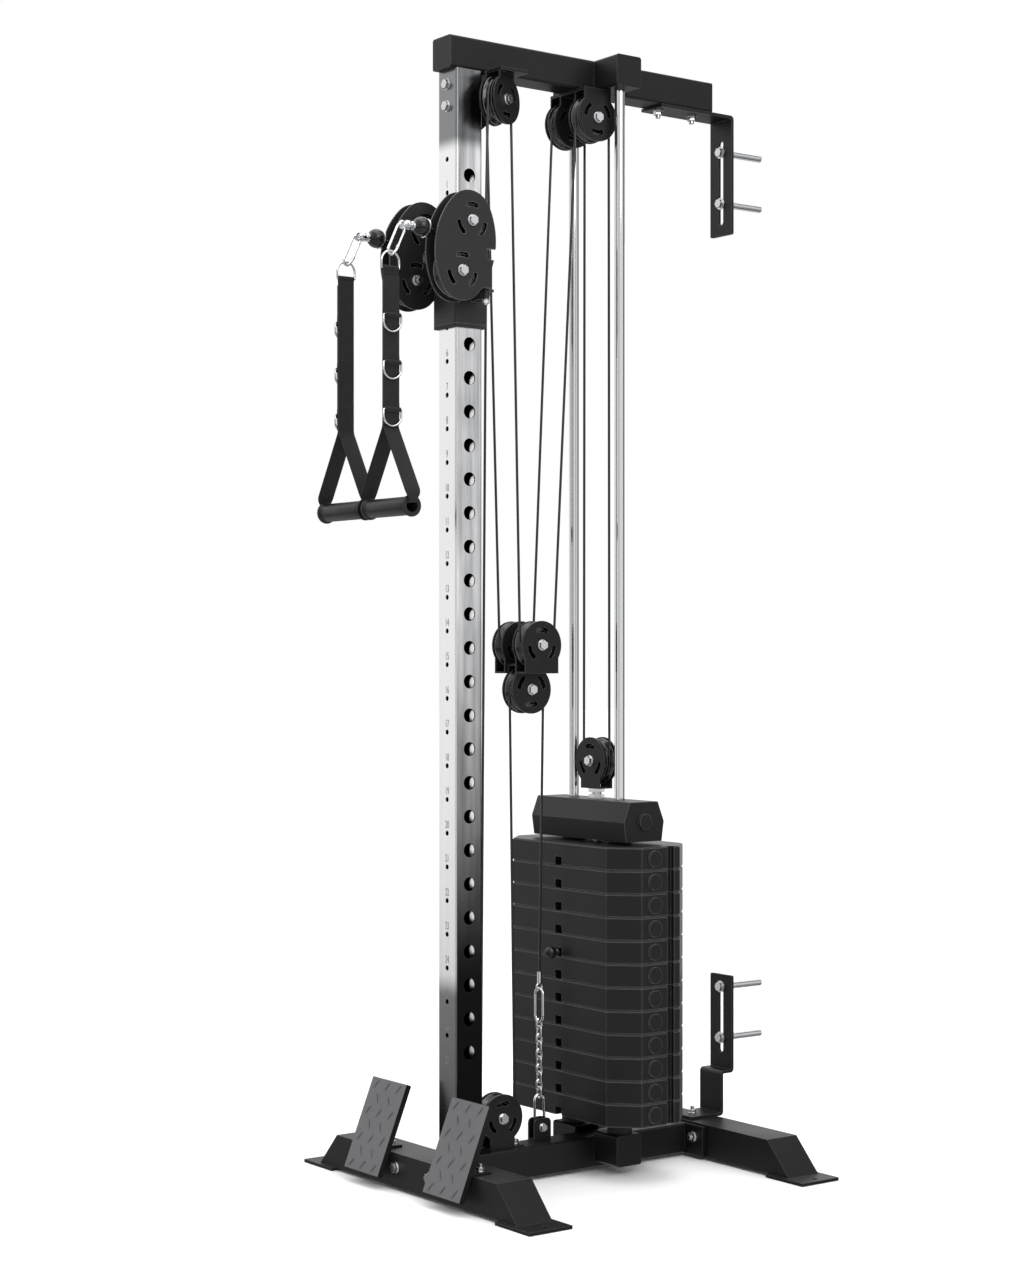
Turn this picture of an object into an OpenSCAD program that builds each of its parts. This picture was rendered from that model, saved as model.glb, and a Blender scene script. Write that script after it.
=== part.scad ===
// Wall-mounted cable machine with one upright and two handles. Millimetres.
// X runs across the machine, Y runs towards the wall and Z is up.
// The origin is on the floor, straight below the centre of the upright.

/* [Upright] */
// Width of the square upright
post_w = 60; // [56:1:64]
// Wall of every steel tube
wall = 3; // [2:0.5:4]
// Corner radius of every steel tube
tube_r = 5; // [3.5:0.5:7]
// Height of the beam's underside above the floor
post_top = 2095; // [2060:5:2150]
// Number of numbered stops in the front face
stops = 27; // [20:1:27]
// Distance between two stops
stop_pitch = 63; // [61:0.5:64]
// Height of the first stop
stop_top = 1928; // [1920:1:1940]
// Diameter of a stop
stop_d = 10; // [9.8:0.1:11]
// Diameter of the side holes
side_hole_d = 26; // [18:1:32]

/* [Beam and base] */
// Height of the beam, the cross tubes and the base rail
beam_h = 60; // [54:1:66]
// How far the beam reaches in front of the upright's centre
beam_front = 42; // [40:1:60]
// How far the beam reaches towards the wall
beam_back = 600; // [590:1:640]
// Distance from the upright to the guide rods
stack_y = 326; // [322:1:332]
// Half the length of the two cross tubes
cross_half = 101; // [96:1:120]
// Height of the base cross tube above the floor
cross_z = 18; // [12:1:24]
// Thickness of the plates under the feet
sole_t = 6; // [4:1:8]
// Height of the foot beams
foot_h = 64; // [61:1:70]
// Depth of the foot beams
foot_d = 77; // [70:1:80]
// Half the length of a foot beam at its top
foot_top_half = 264; // [240:1:300]
// Half the length of a foot beam at its bottom
foot_low_half = 325; // [310:1:360]
// Thickness of the flanges at the ends of the rail
flange_t = 7; // [5:1:9]
// Half the width of the flanges
flange_half = 84; // [76:1:90]
// Distance from the middle to the flange bolts
flange_bolt_x = 56; // [50:1:60]
// Length of the base rail with its flanges
rail_len = 564; // [560:1:570]

/* [Wall brackets] */
// Thickness of the bracket plates
strap_t = 6; // [4:1:8]
// Width of the bracket plates
strap_w = 65; // [60:1:72]
// Distance from the upright's centre to the wall
wall_y = 655; // [652:1:665]
// Outside radius of the bends in the wall brackets
bend_r = 8; // [6.5:0.5:12]
// Width of the bracket slots
slot_w = 14; // [11:1:16]
// Length of the upper bracket's slot
slot_len = 172; // [160:1:190]
// Length of the lower bracket's slot
low_slot_len = 144; // [130:1:150]
// Distance between the two wall screws of a bracket
screw_gap = 104; // [80:1:116]
// Length of a wall screw past the bracket
screw_len = 100; // [50:1:110]
// Outside diameter of a wall screw's anchor sleeve
anchor_d = 14; // [12:0.5:16]
// Height of the screws' middle above their slot's middle
screw_up = 10; // [0:1:16]

/* [Weight stack] */
// Number of weight plates
plates = 12; // [8:1:12]
// Plates that hang on the selector pin
lifted = 5; // [1:1:7]
// Distance from plate to plate
plate_pitch = 44; // [43:0.5:44]
// Half the width of a plate
plate_half = 196.5; // [180:0.5:200]
// Half the depth of a plate
plate_deep = 94.5; // [92:0.5:96]
// Cut at the corners of a plate
plate_cut = 48; // [40:1:56]
// Height of the lowest plate above the floor
stack_z = 110.5; // [108:0.5:114]
// Diameter of the guide rods
rod_d = 20; // [18:1:22]
// Distance from the middle to a guide rod
rod_x = 72; // [70:1:78]
// Half the length of the head block
head_half = 146; // [130:1:160]
// Height of the head block
head_h = 76; // [70:1:80]
// Diameter of the lifting stem
stem_d = 22; // [20:1:24]
// Diameter of the selector pin
pick_d = 10; // [8:0.5:11]
// Diameter of the selector pin's knob
pick_knob_d = 24; // [20:1:24]

/* [Pulleys and cable] */
// Radius of the cable's centre line on a small pulley
pulley_r = 40; // [38:0.5:41]
// Radius of a small pulley's rim
rim_r = 45; // [44:0.5:45.5]
// Radius of a small pulley's cover plates
cover_r = 46; // [45.5:0.5:46.5]
// Radius of the cable's centre line on an arm pulley
arm_pulley_r = 42; // [41:0.5:43]
// Radius of an arm pulley's rim
arm_rim_r = 48; // [46:0.5:48]
// Radius of the oval arm plate's two ends
arm_tip_r = 50; // [49:0.5:52]
// Half the oval arm plate's width
arm_half_w = 67; // [66:0.5:69]
// Half the oval arm plate's height
arm_half_h = 103; // [102:0.5:105]
// Space between the two plates that hold a pulley
gap = 27; // [26:0.5:28]
// Thickness of the plates that hold the pulleys
plate_t = 3; // [2:0.5:3]
// Diameter of the pulley bolts
axle_d = 10; // [8:0.5:12]
// Diameter of the cable
cable_d = 5; // [4:0.5:5]
// Height of the pulleys under the beam, below the beam
hang = 56; // [54:1:60]
// Height of the pulley block's upper pulleys
block_z = 1020; // [1000:5:1040]
// Height between the block's upper and lower pulleys
block_drop = 85; // [84:1:90]
// Height of the stack pulley above the head block
stack_pulley_up = 74; // [72:1:80]

/* [Trolley and arms] */
// Outer width of the trolley sleeve
sleeve_w = 74; // [73:1:78]
// Length of the trolley sleeve
sleeve_len = 211; // [200:1:220]
// Height of the sleeve's lower end at rest
sleeve_z = 1618; // [1612:1:1622]
// Distance from the middle to the plane of an arm
arm_x = 75; // [73:1:80]
// Distance from the upright's centre back to an arm's hinge
hinge_y = 5; // [2:1:8]
// Diameter of the hinge bolts
hinge_d = 8; // [6:0.5:9]
// Height of an arm's upper pulley
arm_top_z = 1800; // [1798:1:1803]
// Height of an arm's lower pulley
arm_low_z = 1706; // [1704:1:1708]
// Distance from upper to lower arm pulley, towards the user
arm_lean = 22; // [18:1:26]
// Diameter of the knob on the lock pin
lock_knob_d = 24; // [20:1:28]

/* [Handles] */
// Diameter of the ball stops
ball_d = 36; // [32:1:38]
// Width of the webbing
web_w = 38; // [30:1:40]
// Length of the webbing above its fork
web_len = 286; // [270:1:300]
// Length of a grip
grip_len = 140; // [120:1:142]
// Diameter of a grip
grip_d = 34; // [30:1:36]

/* [Foot plates] */
// Width of a foot plate
tread_w = 116; // [100:1:120]
// Length of a foot plate
tread_len = 178; // [160:1:190]
// Lean of a foot plate from upright, in degrees
tread_lean = 21.8; // [15:0.1:26]
// Thickness of a foot plate
tread_t = 11; // [8:0.5:11]
// Distance from the middle to a foot plate
tread_x = 75; // [70:1:100]

/* [Hidden] */
$fn = 64;
half = post_w / 2;
fit = 0.3;
run = 0.05;
rail_z = sole_t;
rail_top = rail_z + beam_h;
rail_front = -half;
rail_back = rail_front + rail_len;
foot_top = sole_t + foot_h;
front_foot_y = rail_front - foot_d / 2;
rear_foot_y = rail_back + foot_d / 2;
stack_top = stack_z + plates * plate_pitch;
pad_t = 6;
head_z = stack_top + pad_t;
head_top = head_z + head_h;
stack_pulley_z = head_top + stack_pulley_up;
stem_up = 20;
lift_z = stack_z + (plates - lifted) * plate_pitch;
notch_h = 17;
pick_z = lift_z + notch_h / 2;
knob_y = stack_y - plate_deep - 18;
top_z = post_top - hang;
half_gap = gap / 2;
side_x = half_gap + plate_t;
cable_r = cable_d / 2;
axle_r = axle_d / 2;
front_in = [39, 89];
front_out = [70, 14];
front_mid = (front_in + front_out) / 2;
front_turn = atan2(front_out[0] - front_in[0], front_in[1] - front_out[1]);
rear_y = stack_y - pulley_r;
rear_x = 38;
block_y = 155;
block_x = side_x + half_gap + plate_t;
block_low_z = block_z - block_drop;
base_y = 87;
base_z = 123;
arm_top_y = hinge_y - arm_pulley_r;
arm_low_y = arm_top_y - arm_lean;
ball_y = -139;
exit_rise = 12.2;
exit_y = arm_top_y - arm_pulley_r * sin(exit_rise);
exit_z = arm_top_z - arm_pulley_r * cos(exit_rise);
ball_z = exit_z + (exit_y - ball_y) * tan(exit_rise);
ferrule_l = ball_d / 2 + 15;
lock_z = stop_top - 3 * stop_pitch;
lug_low = 1660;
lug_h = 18;
lug_gap = 54;
lug_r = 7;
tail_y = 59;
tail_z = 1687;
chain_x = -16;
chain_y = 198;
chain_wire = 4.5;
link_l = 24;
links = 10;
shackle_z = 81;
shackle_l = 74;
chain_z = shackle_z + shackle_l - 5.5 - chain_wire - fit;
hook_y = -193;
hook_z = 1751;
hook_l = 66;
swing_y = -206;
swing_z = 1723;
web_top = 1695;
web_t = 4;
fork_z = web_top - web_len;
grip_z = 1267;
grip_wall = 5;
steel_black = [0.12, 0.12, 0.13];
zinc = [0.80, 0.81, 0.82];
nylon = [0.08, 0.08, 0.08];

// Shapes that repeat

// A rectangle with round corners
module round_rect(w, h, r) {
  square([w - 2 * r, h], center = true);
  square([w, h - 2 * r], center = true);
  for (x = [-1, 1], y = [-1, 1])
    translate([x * (w / 2 - r), y * (h / 2 - r)]) circle(r);
}

// A square tube's outline
module tube_outline(w, h) {
  difference() {
    round_rect(w, h, tube_r);
    round_rect(w - 2 * wall, h - 2 * wall, tube_r - wall + 0.5);
  }
}

// A tube that runs along +Y from the origin, with its middle on the axis
module tube_y(len, w, h) {
  rotate([-90, 0, 0]) linear_extrude(len) tube_outline(w, h);
}

// A plastic plug that closes a tube, its face towards -Y
module tube_cap(w, h) {
  cap_t = 2;
  plug = 10;
  rotate([-90, 0, 0]) {
    linear_extrude(cap_t) round_rect(w, h, tube_r);
    translate([0, 0, cap_t]) linear_extrude(plug)
      round_rect(w - 2 * wall - fit, h - 2 * wall - fit, tube_r - wall + 0.4);
  }
}

// A rod from one point to another
module rod(from, to, r) {
  way = to - from;
  len = norm(way);
  translate(from)
    rotate([0, acos(way[2] / len), atan2(way[1], way[0])])
      cylinder(h = len, r = r);
}

// A hexagon bolt along +Z through a stack of the given thickness, with washers and a nut
module bolt(d, through, over = 0.3) {
  head_h = d * 0.65;
  washer_t = d * 0.16;
  translate([0, 0, -washer_t]) cylinder(h = washer_t, r = d * 1.05);
  translate([0, 0, -washer_t - head_h]) cylinder(h = head_h, r = d * 0.92, $fn = 6);
  cylinder(h = through, r = d / 2);
  translate([0, 0, through]) {
    cylinder(h = washer_t, r = d * 1.05);
    translate([0, 0, washer_t]) cylinder(h = d * 0.8, r = d * 0.92, $fn = 6);
    translate([0, 0, washer_t + d * 0.8]) cylinder(h = d * over, r = d / 2);
  }
}

// A half ring in the XZ plane, open downwards
module half_ring(r, wire) {
  rotate([90, 0, 0]) rotate_extrude(angle = 180) translate([r, 0]) circle(wire / 2, $fn = 32);
}

// An oval link in the XZ plane with its lowest point at the origin
module oval_link(len, width, wire) {
  r = (width - wire) / 2;
  low = width / 2;
  high = len - width / 2;
  translate([0, 0, high]) half_ring(r, wire);
  translate([0, 0, low]) mirror([0, 0, 1]) half_ring(r, wire);
  for (s = [-1, 1]) translate([s * r, 0, low]) cylinder(h = high - low, r = wire / 2, $fn = 32);
}

// A curved slot through a cover plate, in the XY plane, centred on an angle
module curved_slot(r, angle) {
  sweep = 38;
  slot = 9;
  rotate([0, 0, angle - sweep / 2]) {
    rotate_extrude(angle = sweep) translate([r - slot / 2, -plate_t])
      square([slot, 3 * plate_t]);
    for (a = [0, sweep]) rotate([0, 0, a]) translate([r, 0, -plate_t])
      cylinder(h = 3 * plate_t, r = slot / 2 + 0.2, $fn = 24);
  }
}

// A small pulley's cover plate in the YZ plane, its inner face at x = 0.
// The stem runs up or down from the round part to the given height.
module cover(up, stem_h, stem_w) {
  rotate([90, 0, 90]) difference() {
    union() {
      cylinder(h = plate_t, r = cover_r);
      translate([-stem_w / 2, up > 0 ? 0 : -stem_h, 0]) cube([stem_w, stem_h, plate_t]);
    }
    translate([0, 0, -plate_t]) cylinder(h = 3 * plate_t, r = axle_r + run);
    for (a = [0, 120, 240]) curved_slot(29, a - up * 90);
  }
}

// The pair of covers on both sides of a small pulley whose axis lies along X
module cover_pair(up, stem_h, stem_w) {
  translate([half_gap, 0, 0]) cover(up, stem_h, stem_w);
  translate([-half_gap - plate_t, 0, 0]) cover(up, stem_h, stem_w);
}

// A grooved pulley on the X axis for a cable at the given radius
module pulley(r, rim) {
  hub_half = half_gap - 0.1;
  hub_r = 15;
  web_half = 5;
  rim_half = 9;
  rim_in = r - 10;
  groove = cable_r + 0.2;
  floor_r = r - cable_r - 0.1;
  color(nylon) rotate([0, 90, 0]) rotate_extrude($fn = 96) polygon([
    [axle_r + run, -hub_half], [hub_r, -hub_half], [hub_r, -web_half],
    [rim_in, -web_half], [rim_in, -rim_half], [rim, -rim_half], [floor_r, -groove],
    [floor_r, groove], [rim, rim_half], [rim_in, rim_half], [rim_in, web_half],
    [hub_r, web_half], [hub_r, hub_half], [axle_r + run, hub_half]]);
}

// A bolt along X through a pulley and its two plates, head on the +X side
module pulley_bolt() {
  translate([side_x, 0, 0]) rotate([0, -90, 0]) bolt(axle_d, 2 * side_x);
}

// The cable's half turn over a pulley on the X axis
module half_turn(r) {
  rotate([0, 0, 90]) half_ring(r, cable_d);
}

// Frame

module upright() {
  bottom = rail_top + strap_t;
  color([0.85, 0.86, 0.88]) difference() {
    union() {
      translate([0, 0, bottom]) linear_extrude(post_top - bottom) tube_outline(post_w, post_w);
      translate([-half, -half, rail_top]) cube([post_w, post_w + 21, strap_t]);
    }
    for (k = [0 : stops - 1]) {
      translate([0, -half - 1, stop_top - k * stop_pitch])
        rotate([-90, 0, 0]) cylinder(h = half, r = stop_d / 2);
      translate([-half - 1, 0, stop_top - (k + 0.5) * stop_pitch])
        rotate([0, 90, 0]) cylinder(h = post_w + 2, r = side_hole_d / 2);
    }
    for (z = post_bolt_heights()) translate([0, -half - 1, z])
      rotate([-90, 0, 0]) cylinder(h = half, r = axle_r + fit);
    translate([0, half + 10, rail_top - 1]) cylinder(h = strap_t + 2, r = axle_r + fit);
  }
}

function post_bolt_heights() = [post_top - 27, post_top - 68];

module cross_stubs(z) {
  for (s = [-1, 1]) translate([s * half, stack_y, z + beam_h / 2]) rotate([0, 0, -s * 90])
    tube_y(cross_half - half - 2, post_w, beam_h);
}

module cross_caps(z) {
  for (s = [-1, 1]) translate([s * cross_half, stack_y, z + beam_h / 2]) rotate([0, 0, s * 90])
    tube_cap(post_w, beam_h);
}

module rod_holes(z) {
  for (s = [-1, 1]) translate([s * rod_x, stack_y, z]) cylinder(h = 10, r = rod_d / 2 + run);
}

module top_beam() {
  mid = post_top + beam_h / 2;
  tongue = 88;
  color(steel_black) {
    difference() {
      union() {
        translate([0, 2 - beam_front, mid]) tube_y(beam_front + beam_back - 4, post_w, beam_h);
        cross_stubs(post_top);
        translate([-20, -half + wall, post_top - tongue]) cube([40, strap_t, tongue + 1]);
      }
      rod_holes(post_top - 1);
      for (z = post_bolt_heights()) translate([0, -half, z])
        rotate([-90, 0, 0]) cylinder(h = 20, r = axle_r + fit);
      for (y = bracket_bolt_ys()) translate([0, y, post_top - 1])
        cylinder(h = wall + 2, r = axle_r + fit);
    }
    translate([0, -beam_front, mid]) tube_cap(post_w, beam_h);
    translate([0, beam_back, mid]) rotate([0, 0, 180]) tube_cap(post_w, beam_h);
    cross_caps(post_top);
  }
}

function bracket_bolt_ys() = [beam_back - 118, beam_back - 30];

module base_rail() {
  mid = rail_z + beam_h / 2;
  color(steel_black) {
    difference() {
      union() {
        translate([0, rail_front + flange_t, mid]) tube_y(rail_len - 2 * flange_t, post_w, beam_h);
        for (y = [rail_front, rail_back - flange_t]) translate([-flange_half, y, rail_z])
          cube([2 * flange_half, flange_t, beam_h]);
        cross_stubs(cross_z);
      }
      rod_holes(cross_z + beam_h - wall - 1);
      for (y = [rail_front, rail_back - flange_t], s = [-1, 1])
        translate([s * flange_bolt_x, y - 1, flange_bolt_z()])
          rotate([-90, 0, 0]) cylinder(h = flange_t + 2, r = axle_r + fit);
      for (p = rail_top_bolts()) translate([p[0], p[1], rail_top - wall - 1])
        cylinder(h = wall + 2, r = axle_r + fit);
    }
    cross_caps(cross_z);
  }
}

function flange_bolt_z() = rail_z + beam_h * 0.62;
function rail_top_bolts() = [[0, half + 10], [0, base_y + 38]];

// A foot beam with slanted ends on two soles, its middle at y = 0
module foot_beam(bolt_side) {
  sole = [102, 94];
  inner = wall + 2;
  color(steel_black) difference() {
    union() {
      translate([0, foot_d / 2, 0]) rotate([90, 0, 0]) linear_extrude(foot_d)
        polygon([[-foot_low_half, sole_t], [foot_low_half, sole_t],
          [foot_top_half, foot_top], [-foot_top_half, foot_top]]);
      for (s = [-1, 1]) translate([s * (foot_low_half - 4), 0, sole_t / 2])
        cube([sole[0], sole[1], sole_t], center = true);
    }
    translate([0, foot_d / 2 - wall, 0]) rotate([90, 0, 0]) linear_extrude(foot_d - 2 * wall)
      polygon([[inner - foot_low_half + wall, sole_t + wall], [foot_low_half - inner - wall, sole_t + wall],
        [foot_top_half - inner, foot_top - wall], [inner - foot_top_half, foot_top - wall]]);
    for (s = [-1, 1]) {
      translate([s * flange_bolt_x, -foot_d / 2 - 1, flange_bolt_z()])
        rotate([-90, 0, 0]) cylinder(h = foot_d + 2, r = axle_r + fit);
      translate([s * (foot_low_half + 30), 0, -1]) cylinder(h = sole_t + 2, r = 6);
    }
    for (p = bolt_side) translate([p[0], p[1], foot_top - wall - 1])
      cylinder(h = wall + 2, r = 4 + fit);
  }
}

tread_bolts = [[tread_x + 34, -13], [tread_x + tread_w - 12, -13]];

module front_foot_beam() {
  translate([0, front_foot_y, 0])
    foot_beam([for (s = [-1, 1], p = tread_bolts) [s * p[0], p[1]]]);
}

module rear_foot_beam() {
  translate([0, rear_foot_y, 0]) foot_beam([[0, 0]]);
}

// One foot plate: a shallow pan that leans on the front foot beam, with two tabs
module foot_plate() {
  edge = [front_foot_y - foot_d / 2, foot_top];
  below = 52;
  tab_w = 26;
  tab_t = 4;
  tab_back = 30;
  difference() {
    union() {
      translate([tread_x, edge[0], edge[1]]) rotate([-tread_lean, 0, 0])
        translate([0, -tread_t, -below]) cube([tread_w, tread_t, tread_len]);
      for (p = tread_bolts) translate([p[0] - tab_w / 2, edge[0] - 4, foot_top])
        cube([tab_w, foot_d / 2 + p[1] + tab_back / 2 + 4, tab_t]);
    }
    for (p = tread_bolts) translate([p[0], front_foot_y + p[1], foot_top - 1])
      cylinder(h = tab_t + 2, r = 4 + fit);
  }
}

module foot_plates() {
  color([0.42, 0.42, 0.43]) {
    foot_plate();
    mirror([1, 0, 0]) foot_plate();
  }
}

module slot_cut(z, len) {
  r = slot_w / 2;
  translate([0, wall_y + 1, z]) rotate([90, 0, 0]) linear_extrude(strap_t + 2) {
    square([slot_w, len - slot_w], center = true);
    for (s = [-1, 1]) translate([0, s * (len / 2 - r)]) circle(r);
  }
}

upper_slot_z = post_top - 132;
lower_slot_z = foot_top + 193;

// Rounds an outside corner of a plate: the waste along +Z from a sharp edge at the origin
module corner_waste(r, h) {
  difference() {
    translate([-r, -r, -1]) cube([r + 1, r + 1, h + 2]);
    translate([-r, -r, -2]) cylinder(h = h + 4, r = r);
  }
}

// Waste of a strap's bend along X, on the side that the signs in y and z name
module bend_waste(y, z, side_y, side_z) {
  translate([-strap_w / 2, y, z]) rotate([90, 0, 90])
    mirror([side_y < 0 ? 1 : 0, 0, 0]) mirror([0, side_z < 0 ? 1 : 0, 0]) corner_waste(bend_r, strap_w);
}

// Waste of the two corners at a wall plate's end
module end_waste(z, side_z) {
  for (s = [-1, 1]) translate([s * strap_w / 2, wall_y, z]) rotate([90, 0, 0])
    mirror([s < 0 ? 1 : 0, 0, 0]) mirror([0, side_z < 0 ? 1 : 0, 0]) corner_waste(4, strap_t);
}

module upper_wall_bracket() {
  drop = 240;
  front = beam_back - 134;
  color(steel_black) difference() {
    union() {
      translate([-strap_w / 2, front, post_top - strap_t]) cube([strap_w, wall_y - front, strap_t]);
      translate([-strap_w / 2, wall_y - strap_t, post_top - drop]) cube([strap_w, strap_t, drop]);
    }
    slot_cut(upper_slot_z, slot_len);
    bend_waste(wall_y, post_top, 1, 1);
    end_waste(post_top - drop, -1);
    for (y = bracket_bolt_ys()) translate([0, y, post_top - strap_t - 1])
      cylinder(h = strap_t + 2, r = axle_r + fit);
  }
}

module lower_wall_bracket() {
  riser_y = wall_y - 28;
  front = rear_foot_y - 30;
  step_z = foot_top + 90;
  top = foot_top + 280;
  color(steel_black) difference() {
    translate([-strap_w / 2, 0, 0]) {
      translate([0, front, foot_top]) cube([strap_w, riser_y - front, strap_t]);
      translate([0, riser_y - strap_t, foot_top]) cube([strap_w, strap_t, step_z - foot_top]);
      translate([0, riser_y - strap_t, step_z - strap_t])
        cube([strap_w, wall_y - riser_y + strap_t, strap_t]);
      translate([0, wall_y - strap_t, step_z - strap_t]) cube([strap_w, strap_t, top - step_z + strap_t]);
    }
    slot_cut(lower_slot_z, low_slot_len);
    bend_waste(riser_y, foot_top, 1, -1);
    bend_waste(riser_y - strap_t, step_z, -1, 1);
    bend_waste(wall_y, step_z - strap_t, 1, -1);
    end_waste(top, 1);
    translate([0, rear_foot_y, foot_top - 1]) cylinder(h = strap_t + 2, r = 4 + fit);
  }
}

// A wall screw along +Y with its washer on the bracket's front face; its anchor sleeve starts behind the bracket
module wall_screw(z) {
  neck = 0.5;
  translate([0, wall_y - strap_t, z]) rotate([-90, 0, 0]) {
    translate([0, 0, -2]) cylinder(h = 2, r = 12);
    translate([0, 0, -9]) cylinder(h = 7, r = 9.2, $fn = 6);
    cylinder(h = strap_t + 2 * neck, r = axle_r - neck);
    translate([0, 0, strap_t + neck]) cylinder(h = screw_len - neck, r = anchor_d / 2);
  }
}

module frame_bolts() {
  color(zinc) {
    for (z = post_bolt_heights()) translate([0, -half, z]) rotate([-90, 0, 0])
      bolt(axle_d, wall + strap_t);
    for (y = [front_foot_y, rear_foot_y], s = [-1, 1]) {
      head = y < 0 ? y - foot_d / 2 : y + foot_d / 2;
      translate([s * flange_bolt_x, head, flange_bolt_z()]) rotate([y < 0 ? -90 : 90, 0, 0])
        bolt(axle_d, foot_d + flange_t);
    }
    translate([0, half + 10, rail_top + strap_t]) mirror([0, 0, 1]) bolt(axle_d, strap_t + wall);
    translate([0, base_y + 38, rail_top + plate_t]) mirror([0, 0, 1]) bolt(axle_d, plate_t + wall);
    for (s = [-1, 1], p = tread_bolts) translate([s * p[0], front_foot_y + p[1], foot_top - wall])
      bolt(8, 4 + wall, 0.8);
    for (y = bracket_bolt_ys()) translate([0, y, post_top + wall]) mirror([0, 0, 1])
      bolt(axle_d, strap_t + wall, 0.6);
    translate([0, rear_foot_y, foot_top - wall]) bolt(8, strap_t + wall, 0.8);
    for (z = [upper_slot_z, lower_slot_z], s = [-1, 1]) wall_screw(z + screw_up + s * screw_gap / 2);
    for (s = [-1, 1]) {
      front_place(s) pulley_bolt();
      rear_place(s) pulley_bolt();
    }
    base_place() pulley_bolt();
  }
}

// Places of the pulleys

module front_place(s) {
  translate([s * front_mid[0], front_mid[1], top_z]) rotate([0, 0, s * front_turn])
    mirror([s < 0 ? 1 : 0, 0, 0]) children();
}

module rear_place(s) {
  translate([s * rear_x, rear_y, top_z]) mirror([s < 0 ? 1 : 0, 0, 0]) children();
}

module base_place() {
  translate([0, base_y, base_z]) children();
}

module block_place(s) {
  translate([s * block_x, block_y, block_z]) mirror([s < 0 ? 1 : 0, 0, 0]) children();
}

module block_low_place() {
  translate([0, block_y, block_low_z]) children();
}

module stack_place() {
  translate([0, stack_y, stack_pulley_z]) rotate([0, 0, 90]) children();
}

module arm_place(s, y, z) {
  translate([s * arm_x, y, z]) mirror([s < 0 ? 1 : 0, 0, 0]) children();
}

// Brackets

module front_pulley_bracket() {
  bar_t = 6;
  color(steel_black) {
    for (s = [-1, 1]) front_place(s) cover_pair(1, hang - bar_t + 1, 50);
    translate([-85, half + 3, post_top - bar_t]) cube([170, 62, bar_t]);
  }
}

module rear_pulley_bracket() {
  bar_t = 6;
  color(steel_black) {
    for (s = [-1, 1]) rear_place(s) cover_pair(1, hang - bar_t, 64);
    translate([-rear_x - side_x, rear_y - 32, post_top - bar_t])
      cube([2 * (rear_x + side_x), 64, bar_t]);
  }
}

module base_pulley_bracket() {
  drop = base_z - rail_top;
  color(steel_black) difference() {
    union() {
      base_place() cover_pair(-1, drop, 56);
      translate([-side_x, base_y - 28, rail_top]) cube([2 * side_x, 78, plate_t]);
    }
    translate([0, base_y + 38, rail_top - 1]) cylinder(h = plate_t + 2, r = axle_r + fit);
  }
}

module pulley_block() {
  foot = 54;
  foot_w = 78;
  hat = 18;
  hat_z = block_z - foot + hat;
  color(steel_black) {
    for (s = [-1, 1]) block_place(s) {
      cover_pair(-1, foot, foot_w);
      translate([-side_x, -foot_w / 2, -foot]) cube([2 * side_x, foot_w, plate_t]);
    }
    block_low_place() cover_pair(1, hat_z - block_low_z, foot_w - 14);
    translate([-side_x, block_y - (foot_w - 14) / 2, hat_z - plate_t])
      cube([2 * side_x, foot_w - 14, plate_t]);
  }
}

module pulley_block_bolts() {
  color(zinc) {
    for (s = [-1, 1]) block_place(s) pulley_bolt();
    block_low_place() pulley_bolt();
  }
}

module stack_pulley_bracket() {
  drop = stack_pulley_up - stem_up;
  stem_w = 58;
  color(steel_black) difference() {
    union() {
      stack_place() cover_pair(-1, drop, stem_w);
      translate([-stem_w / 2, stack_y - side_x, stack_pulley_z - drop])
        cube([stem_w, 2 * side_x, plate_t]);
    }
    translate([0, stack_y, stack_pulley_z - drop - 1]) cylinder(h = plate_t + 2, r = 10 + run);
  }
  color(zinc) stack_place() mirror([1, 0, 0]) pulley_bolt();
}

// Weight stack

module guide_rods() {
  low = cross_z + wall;
  color([0.9, 0.9, 0.91]) for (s = [-1, 1]) translate([s * rod_x, stack_y, low])
    cylinder(h = post_top + 15 - low, r = rod_d / 2);
}

module stack_bumpers() {
  low = cross_z + beam_h;
  color([0.05, 0.05, 0.05]) for (s = [-1, 1]) translate([s * rod_x, stack_y, low]) difference() {
    cylinder(h = stack_z - low, r = 24);
    translate([0, 0, -1]) cylinder(h = stack_z - low + 2, r = rod_d / 2 + fit);
  }
}

// The outline of a plate, drawn in by an inset
module plate_outline(inset) {
  a = plate_half - inset;
  b = plate_deep - inset;
  c = plate_cut - inset * 0.586;
  polygon([[-a + c, -b], [a - c, -b], [a, -b + c], [a, b - c],
    [a - c, b], [-a + c, b], [-a, b - c], [-a, -b + c]]);
}

// One weight plate with its lower face at z = 0
module weight_plate() {
  bevel = 2;
  thick = plate_pitch - fit;
  boss_r = 15.5;
  boss_z = thick / 2;
  groove = 16;
  groove_y = 24;
  difference() {
    union() {
      translate([0, 0, bevel]) linear_extrude(thick - 2 * bevel) plate_outline(0);
      linear_extrude(thick) plate_outline(bevel);
      for (s = [-1, 1]) translate([s * (plate_half - 1), -16, boss_z]) rotate([0, s * 90, 0])
        cylinder(h = 5, r = boss_r);
    }
    for (s = [-1, 1]) {
      translate([s * rod_x, 0, -1]) cylinder(h = plate_pitch + 2, r = rod_d / 2 + 2 * fit);
      translate([s * (plate_half - 4) - 5, groove_y - groove / 2, -1])
        cube([10, groove, plate_pitch + 2]);
    }
    translate([0, 0, -1]) cylinder(h = plate_pitch + 2, r = stem_d / 2 + 2 * fit);
    translate([-10.5, -plate_deep - 1, -1]) cube([21, plate_deep + 20, notch_h + 1]);
  }
}

module plates_between(from, to) {
  for (k = [from : to - 1]) translate([0, stack_y, stack_z + k * plate_pitch]) weight_plate();
}

module fixed_plates() {
  color([0.15, 0.15, 0.15]) plates_between(0, plates - lifted);
}

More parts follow.
